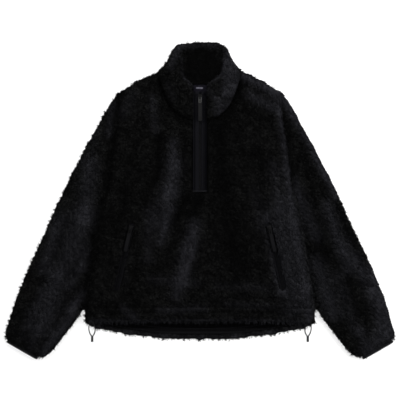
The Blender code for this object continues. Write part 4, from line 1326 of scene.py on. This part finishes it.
@dataclass(frozen=True)
class HemCord:
    """The loop of elastic cord at one side of the hem: two strands that end in a moulded cord end."""

    sign: int
    word: str
    middle_x: float = 244 * MM
    diameter: float = 2.5 * MM
    route: tuple[Triple, ...] = (
        (5.4, -277.8, 11.2),
        (6.6, -284.0, 9.9),
        (7.0, -290.0, 6.2),
        (6.2, -296.4, 3.2),
        (4.2, -301.4, 2.8),
        (1.6, -305.4, 2.8),
        (1.4, -309.0, 2.8),
    )
    turn_y: float = -311.5 * MM
    bevel_steps: int = 3
    end_top: Plan = (-305.8 * MM, 2.85 * MM)
    end_radius: float = 2.8 * MM
    end_length: float = 13 * MM
    end_sides: int = 28
    end_ribs: int = 5

    def line(self) -> list[Vector]:
        """The cord's points on a smooth curve: down a strand, round inside the cord end and up the other."""
        x = self.sign * self.middle_x
        down = [Vector((x - out * MM, y * MM, z * MM)) for out, y, z in self.route]
        turn = Vector((x, self.turn_y, self.route[-1][2] * MM))
        up = [Vector((2 * x - point.x, point.y, point.z)) for point in reversed(down)]
        points = [*down, turn, *up]
        line = []
        for i in range(len(points) - 1):
            a, b = points[max(i - 1, 0)], points[i]
            c, d = points[i + 1], points[min(i + 2, len(points) - 1)]
            for t in (0, 0.25, 0.5, 0.75):
                bend = (c - a) * t + (2 * a - 5 * b + 4 * c - d) * t**2 + (3 * b - a - 3 * c + d) * t**3
                line.append(b + bend / 2)
        return [*line, points[-1]]

    def build(self, finishes: Finishes) -> None:
        end = self._cord_end(finishes)
        line = self.line()
        curve = bpy.data.curves.new(f"elastic_cord_{self.word}", "CURVE")
        curve.dimensions = "3D"
        curve.bevel_depth = self.diameter / 2
        curve.bevel_resolution = self.bevel_steps
        curve.use_fill_caps = True
        spline = curve.splines.new("POLY")
        spline.points.add(len(line) - 1)
        for point, place in zip(spline.points, line, strict=True):
            point.co = (*place, 1)
        obj = dressed(linked(curve.name, curve), finishes.cord, "cord")
        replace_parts(obj, f"hem_cord_{self.word}_a", f"hem_cord_{self.word}_b")
        length = sum((b - a).length for a, b in zip(line, line[1:], strict=False))
        log.info("%s: %.1f mm", obj.name, length / MM)

    def _cord_end(self, finishes: Finishes) -> bpy.types.Object:
        """The waisted barrel that grips both strands, with a ribbed grip and a rounded foot."""
        groove = 0.93
        profile = [(0.04, 1.16), (0.08, 1.2), (0.12, 1.02)]
        profile += [(0.035, groove), (0.03, 1.0), (0.035, 1 / groove), (0.03, 1.0)] * self.end_ribs
        profile += [(0.06, 0.98), (0.05, 0.9), (0.03, 0.72)]
        whole = sum(step for step, _ in profile)
        radius = 0.7 * self.end_radius
        obj = drawn_bar(
            Vector((self.sign * self.middle_x, *self.end_top)), Vector((0, -self.end_length, 0)),
            (self.end_sides, (radius, 1, radius)), [(step / whole, size) for step, size in profile],
        )
        obj.name = f"cord_stop_{self.word}"
        with edit_mode():
            turn_outwards()
        obj.data.shade_smooth()
        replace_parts(dressed(obj, finishes.cord_end, "grip"), f"cord_end_{self.word}")
        return obj


# ---------------------------------------------------------------------------------------------------------
# Zips, tapes and sewing


class Bed:
    """The upper surface of a CAD node, on which trims are laid."""

    def __init__(self, node: str) -> None:
        """Reads the node's surface."""
        self.tree = tree_of(frame["nodes"][node].data)

    def _hit(self, x: float, y: float) -> Vector | None:
        """Where a line straight down at a plan place meets the surface."""
        return self.tree.ray_cast(Vector((x, y, 1)), Vector((0, 0, -1)))[0]

    def height(self, x: float, y: float) -> float:
        """The height of the surface at a plan place, or of its nearest point beside it."""
        return (self._hit(x, y) or self.tree.find_nearest(Vector((x, y, 0.1)))[0]).z

    def laid(self, place: Vector, lift: float) -> Vector:
        """A plan place on the surface, lifted off it."""
        return Vector((place.x, place.y, self.height(place.x, place.y) + lift))

    def lower_edge(self, x: float, rows: Sequence[float]) -> float:
        """The first of some rows, from below, that meets the surface at one x."""
        return float(next(y for y in rows if self._hit(x, y)))


def repeat(
    name: str, template: bpy.types.Object, places: Sequence[Vector], headings: Sequence[float]
) -> bpy.types.Object:
    """Copies a modelled shape along a row, and joins the copies.

    Args:
        name: The new object's name.
        template: The shape, modelled along +Y at the origin. It is used up.
        places: Where each copy goes.
        headings: How far each is turned about Z from +Y, in radians.

    Returns:
        The joined copies.
    """
    choose(template)
    with edit_mode():
        bpy.ops.mesh.select_all(action="SELECT")
        bpy.ops.mesh.quads_convert_to_tris()
        turn_outwards()
    points, triangles = shape_of(template)
    turns = np.array([Matrix.Rotation(heading, 3, "Z") for heading in headings])
    return object_of(name, np.einsum("nij,pj->npi", turns, points) + np.array(places)[:, None], triangles)


@dataclass(frozen=True)
class Sewing:
    """Rows of stitches in thick thread."""

    stitch: float = 2.5 * MM
    pitch: float = 3.4 * MM
    thread: float = 0.62 * MM
    lift_share: float = 0.28
    taper: float = 0.35
    sides: int = 5

    def _template(self) -> bpy.types.Object:
        """One stitch: a short bar with both ends drawn in."""
        bpy.ops.object.select_all(action="DESELECT")
        bpy.ops.mesh.primitive_circle_add(
            vertices=self.sides, radius=self.thread / 2, fill_type="NGON",
            location=(0, -self.stitch / 2, 0), rotation=(math.pi / 2, 0, 0),
        )
        obj = bpy.context.object
        bpy.ops.object.transform_apply(location=True, rotation=True, scale=True)
        with edit_mode():
            bpy.ops.mesh.select_all(action="SELECT")
            bpy.ops.transform.resize(value=(self.taper, 1, self.taper))
            for share, size in ((0.2, 1 / self.taper), (0.6, 1.0), (0.2, self.taper)):
                extrude((0, share * self.stitch, 0))
                bpy.ops.transform.resize(value=(size, 1, size), center_override=(0, 0, 0))
        return obj

    def sew(self, name: str, rows: Sequence[Sequence[Plan]], bed: Bed, finish: bpy.types.Material) -> None:
        """Sews rows of stitches on a surface.

        Args:
            name: The piece's name.
            rows: The plan points of each row, in metres.
            bed: The surface.
            finish: The thread.
        """
        places, headings = [], []
        for row in rows:
            line = [Vector((*point, 0)) for point in row]
            rest = self.pitch / 2
            for start, end in zip(line, line[1:], strict=False):
                way, reach = (end - start).normalized(), (end - start).length
                while rest < reach:
                    places.append(bed.laid(start + way * rest, self.lift_share * self.thread))
                    headings.append(math.atan2(-way.x, way.y))
                    rest += self.pitch
                rest -= reach
        dressed(repeat(name, self._template(), places, headings), finish, "tape")


@dataclass(frozen=True)
class Coil:
    """The two rows of nylon teeth of a closed zip, which lock into each other."""

    pitch: float = 1.5 * MM
    reach_out: float = 2.6 * MM
    reach_in: float = 0.55 * MM
    radius: float = 0.34 * MM
    height: float = 0.8 * MM
    lift: float = 0.95 * MM
    sides: int = 6

    def _template(self, sign: int) -> bpy.types.Object:
        """One tooth of one row: a flattened loop of thread, with a swollen head in the middle of the zip."""
        start = Vector((-sign * self.reach_in, 0, 0))
        way = Vector((sign * (self.reach_out + self.reach_in), 0, 0))
        disc = (self.sides, (1, self.radius, self.height))
        return drawn_bar(start, way, disc, ((0.22, 0.8), (0.6, 1.12), (0.18, 0.62)))

    def build(
        self, name: str, node: str, tape: str, finish: bpy.types.Material, line: tuple[Plan, Plan]
    ) -> None:
        """Lays the teeth along a line on the tape, and stands them for the CAD chain.

        Args:
            name: The piece's name.
            node: The CAD chain.
            tape: The CAD tape under it.
            finish: The nylon.
            line: The chain's lower and upper end.
        """
        bed = Bed(tape)
        low, high = Vector((*line[0], 0)), Vector((*line[1], 0))
        way, reach = (high - low).normalized(), (high - low).length
        heading = math.atan2(-way.x, way.y)
        rows = []
        for sign, offset in ((-1, 0.25), (1, 0.75)):
            steps = range(int(reach / self.pitch))
            places = [bed.laid(low + way * (i + offset) * self.pitch, self.lift) for i in steps]
            rows.append(repeat(f"{name}_{sign}", self._template(sign), places, [heading] * len(places)))
        join(*rows)
        rows[0].name = name
        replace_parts(dressed(rows[0], finish, "coil"), node)


@dataclass(frozen=True)
class Hinge:
    """The frame of a slider and its pull, in millimetres: the hinge axis at the origin, +Y up the zip."""

    axis: Vector
    way: Vector

    def fit(self, obj: bpy.types.Object, finish: bpy.types.Material, slot: str, node: str, body: str) -> None:
        """Moves a modelled piece to its place on the garment, dresses it and stands it for a CAD node.

        Args:
            obj: The piece, modelled in this frame.
            finish: Its material.
            slot: The record's material slot.
            node: The CAD node.
            body: The body that it rides on.
        """
        obj.data.shade_smooth()
        choose(obj)
        bpy.ops.object.shade_smooth_by_angle(angle=SHARP_EDGE)
        turn = Matrix.Rotation(math.atan2(-self.way.x, self.way.y), 4, "Z") @ Matrix.Scale(MM, 4)
        obj.data.transform(Matrix.Translation(self.axis) @ turn)
        obj.data.update()
        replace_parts(dressed(obj, finish, slot, body), node)


@dataclass(frozen=True)
class Grip:
    """The long soft grip that is moulded on a pull's tab, in millimetres about the hinge axis."""

    start: float = -11.3
    length: float = 41.0
    half_width: float = 4.0
    half_thick: float = 1.1
    rounding: float = 0.9
    border: float = 0.55
    panel_slope: float = 0.25
    panel_depth: float = 0.28
    rib_rows: int = 5
    rib_pitch: float = 1.8
    rib_half_size: Plan = (2.3, 0.4)
    rib_sunk: float = 0.03
    first_rib: float = 4.0

    def build(self, body: str, hinge: Hinge, finish: bpy.types.Material) -> None:
        """Models the grip: a rounded strip with a sunk panel on each face and cross ribs at its foot."""
        foot = self.start - self.length
        low = Vector((-self.half_width, foot, -self.half_thick))
        obj = block(f"{body}_moulded_grip", low, Vector((self.half_width, self.start, self.half_thick)))
        face_area = self.length * self.half_width / 2
        soften(obj, self.rounding, 3)
        for sign in (1, -1):
            select_faces(obj, lambda f, sign=sign: f.normal.z * sign > 0.99 and f.area > face_area)
            with edit_mode():
                bpy.ops.mesh.inset(thickness=self.border, depth=0)
                bpy.ops.mesh.inset(thickness=self.panel_slope, depth=-self.panel_depth)
        ribs = []
        for i in range(self.rib_rows):
            corner = Vector((*self.rib_half_size, self.half_thick - self.rib_sunk))
            middle = Vector((0, foot + self.first_rib + self.rib_pitch * i, 0))
            ribs.append(block("rib", middle - corner, middle + corner))
            soften(ribs[-1], 0.18, 1)
        join(obj, *ribs)
        hinge.fit(obj, finish, "grip", f"{body}_grip", body)


@dataclass(frozen=True)
class Tab:
    """A pull's metal tab, in millimetres about the hinge axis: a ring on its pin, and an eye below it."""

    half_width: float = 3.1
    head: float = 0.7
    foot: float = -11.0
    half_thick: float = 0.7
    arm_inside: float = 1.7
    ring: Plan = (-4.4, -0.63)
    eye: Plan = (-9.6, -6.0)
    rounding: float = 0.22

    def build(self, body: str, hinge: Hinge, finish: bpy.types.Material) -> None:
        """Models the tab from one block, cut across and along, with its two openings bridged through."""
        low = Vector((-self.half_width, self.foot, -self.half_thick))
        obj = block(f"{body}_metal_tab", low, Vector((self.half_width, self.head, self.half_thick)))
        cuts = [((0, y, 0), (0, 1, 0)) for y in (*self.ring, *self.eye)]
        cuts += [((x, 0, 0), (1, 0, 0)) for x in (-self.arm_inside, self.arm_inside)]
        with edit_mode("FACE"):
            for place, way in cuts:
                bpy.ops.mesh.select_all(action="SELECT")
                bpy.ops.mesh.bisect(plane_co=place, plane_no=way)
        for low_y, high_y in (self.ring, self.eye):
            select_faces(obj, lambda f, low_y=low_y, high_y=high_y: self._opens(f, low_y, high_y))
            with edit_mode():
                bpy.ops.mesh.bridge_edge_loops()
                turn_outwards()
        soften(obj, self.rounding)
        hinge.fit(obj, finish, "metal", f"{body}_tab", body)

    def _opens(self, face: bpy.types.MeshPolygon, low_y: float, high_y: float) -> bool:
        """Whether a face of the block lies where an opening goes through."""
        x, y, _ = face.center
        return abs(face.normal.z) > 0.9 and abs(x) < self.arm_inside and low_y < y < high_y


@dataclass(frozen=True)
class Slider:
    """A slider's body, in millimetres about the hinge axis: a shield slotted at both sides, and a bridge."""

    low: Triple = (-4.6, -9.0, -5.4)
    high: Triple = (4.6, 7.5, -1.2)
    tail_share: float = 0.74
    slot_border: float = 1.25
    slot_depth: float = 0.9
    rounding: float = 0.7
    bridge_half_width: float = 1.2
    bridge_half_length: float = 3.4
    bridge_leg: float = 1.2
    bridge_fall: float = 0.15
    bridge_drop: float = 3.0
    bridge_under: float = 1.3
    bridge_top: float = 2.5
    bridge_rounding: float = 0.3

    def build(self, name: str, node: str, hinge: Hinge, finish: bpy.types.Material) -> None:
        """Models the body and the bridge, and stands them for the CAD slider."""
        body, bridge = self._shield(name), self._bridge()
        join(body, bridge)
        hinge.fit(body, finish, "metal", node, GARMENT)

    def _shield(self, name: str) -> bpy.types.Object:
        """The body: broad where the rows of teeth part and narrower at its tail, with a slot for the tape."""
        obj = block(name, Vector(self.low), Vector(self.high))
        select_faces(obj, lambda f: f.normal.y < -0.9)
        with edit_mode():
            bpy.ops.transform.resize(value=(self.tail_share, 1, 1))
        select_faces(obj, lambda f: abs(f.normal.x) > 0.9)
        with edit_mode():
            bpy.ops.mesh.inset(thickness=self.slot_border, depth=0, use_individual=True)
            bpy.ops.mesh.inset(thickness=0.05, depth=-self.slot_depth, use_individual=True)
        soften(obj, self.rounding, 3, angle_limit=math.radians(50))
        return obj

    def _bridge(self) -> bpy.types.Object:
        """The arch that the pull hangs from: its crown, with a leg extruded down at each end."""
        inside = self.bridge_half_length - self.bridge_leg
        low = Vector((-self.bridge_half_width, -inside, self.bridge_under))
        obj = block("bridge", low, Vector((self.bridge_half_width, inside, self.bridge_top)))
        for sign in (-1, 1):
            for face in obj.data.polygons:
                face.select = face.normal.y * sign > 0.9
            with edit_mode("FACE"):
                extrude((0, sign * self.bridge_leg, -self.bridge_fall))
                bpy.ops.mesh.select_all(action="DESELECT")
            for face in obj.data.polygons:
                face.select = face.normal.z < -0.8 and face.center.y * sign > inside
            with edit_mode():
                extrude((0, 0, -self.bridge_drop))
                bpy.ops.mesh.select_all(action="DESELECT")
        with edit_mode():
            turn_outwards()
            bpy.ops.mesh.select_all(action="DESELECT")
        soften(obj, self.bridge_rounding)
        return obj


def hang_pull(body: str, slider: tuple[str, str], way: Vector, looks: Sequence[bpy.types.Material]) -> None:
    """Builds a slider, and the tab and the grip that turn on it.

    Args:
        body: The pull's body.
        slider: The name of the slider's piece, and its CAD node.
        way: The direction up the zip.
        looks: The finishes of the slider, the tab and the grip.
    """
    joint = next(j for j in frame["joints"] if j["name"] == f"{body}_hinge")
    hinge = Hinge(Vector(joint["pos_m"]), way)
    Slider().build(*slider, hinge, looks[0])
    Tab().build(body, hinge, looks[1])
    Grip().build(body, hinge, looks[2])


@dataclass(frozen=True)
class Bar:
    """A soft flat bar across the front zip, between two edges and two depths about the tape."""

    name: str
    edges: Plan
    depths: Plan
    rounding: float

    def build(self, half_width: float, z: float, finish: bpy.types.Material) -> None:
        """Models the bar at a height."""
        low = Vector((-half_width, self.edges[0], z - self.depths[0]))
        obj = block(self.name, low, Vector((half_width, self.edges[1], z + self.depths[1])))
        soften(obj, self.rounding)
        obj.data.shade_smooth()
        dressed(obj, finish, "tape")


@dataclass(frozen=True)
class FrontZip:
    """The half zip: its teeth, slider, grip, bar tack, the sewing on its tape and the tape's folded top."""

    chain: tuple[Plan, Plan] = ((0.0, 25 * MM), (0.0, 222.4 * MM))
    foot_y: float = 22.5 * MM
    top_y: float = 244 * MM
    half_width: float = 15.4 * MM
    sewn_x: float = 9.8 * MM
    inner_share: float = 1 / 2.2
    bar_tack: Bar = Bar("front_bar_tack", (21.0 * MM, 23.4 * MM), (0.3 * MM, 1.3 * MM), 0.5 * MM)
    tape_fold: Bar = Bar("front_tape_fold", (240.2 * MM, 246.6 * MM), (0.2 * MM, 1.5 * MM), 0.6 * MM)

    def build(self, finishes: Finishes) -> None:
        """Builds the zip."""
        Coil().build("front_zip_teeth", "front_zip_chain", "front_zip_tape", finishes.coil, self.chain)
        looks = (finishes.dark_metal, finishes.metal, finishes.grip)
        hang_pull("front_pull", ("front_slider_body", "front_zip_slider"), Vector((0, 1, 0)), looks)
        bed = Bed("front_zip_tape")
        rows = [
            [(share * self.sewn_x, self.foot_y), (share * self.sewn_x, self.top_y)]
            for share in (-1, -self.inner_share, self.inner_share, 1)
        ]
        Sewing().sew("front_zip_sewing", rows, bed, finishes.thread)
        self.bar_tack.build(self.half_width, bed.height(0, self.foot_y), finishes.thread)
        self.tape_fold.build(self.half_width, bed.height(0, self.top_y), finishes.tape)


@dataclass(frozen=True)
class PocketZip:
    """A pocket's zip: its teeth, slider, grip, and the sewing along both sides of its tape."""

    sign: int
    word: str
    top: Plan = (153 * MM, -50 * MM)
    foot: Plan = (188 * MM, -200 * MM)
    chain_top: float = 21.7 * MM
    chain_foot: float = 3.5 * MM
    sewn_x: float = 5.6 * MM
    sewn_end: float = 2 * MM

    def build(self, finishes: Finishes) -> None:
        """Builds the zip."""
        top = Vector((self.sign * self.top[0], self.top[1], 0))
        foot = Vector((self.sign * self.foot[0], self.foot[1], 0))
        way = (top - foot).normalized()
        beside = Vector((way.y, -way.x, 0))
        tape, slider = f"pocket_zip_tape_{self.word}", f"pocket_slider_{self.word}"
        line = (foot + way * self.chain_foot).xy[:], (top - way * self.chain_top).xy[:]
        teeth, chain = f"pocket_zip_teeth_{self.word}", f"pocket_zip_chain_{self.word}"
        # The pocket teeth take the darker copy of the coil, as painted shade.
        Coil().build(teeth, chain, tape, finishes.small_shaded_coil, line)
        # The pocket grips take the darker copy of the grip, as painted shade.
        looks = (finishes.dark_metal, finishes.dark_metal, finishes.small_shaded_grip)
        hang_pull(f"pocket_pull_{self.word}", (f"{slider}_body", slider), way, looks)
        low, high = foot + way * self.sewn_end, top - way * self.sewn_end
        rows = [[(end + beside * x).xy[:] for end in (low, high)] for x in (-self.sewn_x, self.sewn_x)]
        Sewing().sew(f"pocket_sewing_{self.word}", rows, Bed(tape), finishes.thread)


@dataclass(frozen=True)
class NeckLabel:
    """The folded woven label inside the neck, which is blank apart from one plain pale bar."""

    low: Triple = (-15 * MM, 240 * MM, 7.3 * MM)
    high: Triple = (15 * MM, 262.4 * MM, 8.0 * MM)
    hem: float = 1.4 * MM
    hem_rise: float = 0.2 * MM
    rounding: float = 0.12 * MM
    bar_low: Plan = (-8.6 * MM, 253.2 * MM)
    bar_high: Plan = (6.6 * MM, 257.0 * MM)
    bar_depth: float = 0.25 * MM
    bar_thick: float = 0.35 * MM

    def build(self, finishes: Finishes) -> None:
        """Models the label with its raised hems, and the bar woven on it."""
        label = block("blank_label", Vector(self.low), Vector(self.high))
        soften(label, self.rounding)
        select_faces(label, lambda f: f.normal.z > 0.99)
        with edit_mode():
            bpy.ops.mesh.inset(thickness=self.hem, depth=0)
            bpy.ops.mesh.inset(thickness=self.hem_rise, depth=-self.hem_rise)
        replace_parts(dressed(label, finishes.label, "label"), "neck_label")
        z = self.high[2] - self.bar_depth
        bar = block("pale_bar", Vector((*self.bar_low, z)), Vector((*self.bar_high, z + self.bar_thick)))
        soften(bar, self.rounding)
        dressed(bar, finishes.label_bar, "label")


@dataclass(frozen=True)
class HemSewing:
    """The rows of stitches on the tape inside the back hem."""

    half_width: float = 226 * MM
    steps: int = 40
    rows_from_edge: tuple[float, ...] = (2.6 * MM, 12.5 * MM)
    searched: Plan = (-310 * MM, -250 * MM)
    search_step: float = 0.5 * MM

    def build(self, finishes: Finishes) -> None:
        """Sews the rows, which follow the tape's lower edge."""
        bed = Bed("back_hem_tape")
        across = np.linspace(-self.half_width, self.half_width, self.steps)
        edge = [bed.lower_edge(x, np.arange(*self.searched, self.search_step)) for x in across]
        rows = [
            [(float(x), y + away) for x, y in zip(across, edge, strict=True)] for away in self.rows_from_edge
        ]
        Sewing().sew("hem_tape_sewing", rows, bed, finishes.thread)


# ---------------------------------------------------------------------------------------------------------
# Studio


@dataclass(frozen=True)
class SoftBox:
    """A round soft light that points at the garment."""

    name: str
    place: Triple
    size: float
    power: float

    def build(self) -> None:
        """Adds the light."""
        data = bpy.data.lights.new(self.name, "AREA")
        data.shape = "DISK"
        data.size = self.size
        data.energy = self.power
        lamp = linked(self.name, data)
        lamp.location = self.place
        lamp.rotation_euler = (-Vector(self.place)).to_track_quat("-Z", "Y").to_euler()


@dataclass(frozen=True)
class Studio:
    """The pale floor, the soft lights and the camera, which looks straight down on the garment."""

    span: float = 0.9
    middle: Plan = (0.0, 0.00225)
    cloth_height: float = 0.015
    lens: float = 85.0
    sensor: float = 36.0
    floor_size: float = 6.0
    floor_glow: float = 0.6
    floor_greys: Plan = (0.34, 0.37)
    surroundings: float = 0.62
    boxes: tuple[SoftBox, ...] = (
        SoftBox("key", (1.5, 0.5, 1.5), 1.3, 62.0),
        SoftBox("fill", (-1.5, 0.9, 1.2), 1.4, 34.0),
        SoftBox("top", (-0.2, 1.6, 1.5), 1.2, 26.0),
    )

    def place_camera(self) -> None:
        """Puts the camera over the middle of the photographed frame."""
        data = bpy.data.cameras.new("camera")
        data.lens = self.lens
        data.sensor_width = self.sensor
        camera = linked("camera", data)
        camera.location = (*self.middle, self.cloth_height + self.span * self.lens / self.sensor)
        bpy.context.scene.camera = camera

    def light(self) -> None:
        """Adds the soft boxes and the pale surroundings."""
        for box in self.boxes:
            box.build()
        world = bpy.data.worlds.new("studio")
        world.use_nodes = True
        inputs = world.node_tree.nodes["Background"].inputs
        inputs["Color"].default_value = (1, 1, 1, 1)
        inputs["Strength"].default_value = self.surroundings
        bpy.context.scene.world = world
        bpy.context.scene.view_settings.view_transform = "Standard"

    def lay_floor(self) -> None:
        """Adds the pale floor under the garment, lit a little from within as a light table is."""
        bpy.ops.object.select_all(action="DESELECT")
        bpy.ops.mesh.primitive_plane_add(size=self.floor_size)
        floor = bpy.context.object
        floor.name = "floor"
        looks = {"Roughness": 0.9, "Specular_IOR_Level": 0.1, "Emission_Strength": self.floor_glow}
        shader = Shader("pale_floor", **looks)
        low, high = ((grey, grey, grey) for grey in self.floor_greys)
        shader.feed(Base_Color=shader.blend(shader.noise(shader.place(), 40, 3), low, high))
        floor.data.materials.append(shader.material)


def dress_rest(finishes: Finishes) -> None:
    """Gives every CAD node that still shows its own finish."""
    finish_of = {
        "cuff_binding_left": finishes.binding,
        "cuff_binding_right": finishes.binding,
        "front_zip_tape": finishes.tape,
        "back_hem_tape": finishes.hem_tape,
        "pocket_zip_tape_left": finishes.small_tape,
        "pocket_zip_tape_right": finishes.small_tape,
    }
    for name, finish in finish_of.items():
        materials = frame["nodes"][name].data.materials
        materials.clear()
        materials.append(finish)
        log.info("%s: %s", name, finish.name)


def main() -> None:
    """Builds the studio and every piece of the garment, in order."""
    logging.basicConfig(level=logging.INFO, format="%(name)s: %(message)s")
    studio = Studio()
    studio.place_camera()
    finishes = Finishes()
    for sign, word in HALVES:
        HemCord(sign, word).build(finishes)
    FleecePieces().build(finishes)
    FrontZip().build(finishes)
    for sign, word in HALVES:
        PocketZip(sign, word).build(finishes)
    NeckLabel().build(finishes)
    HemSewing().build(finishes)
    dress_rest(finishes)
    studio.light()
    studio.lay_floor()


if __name__ == "__main__":
    main()
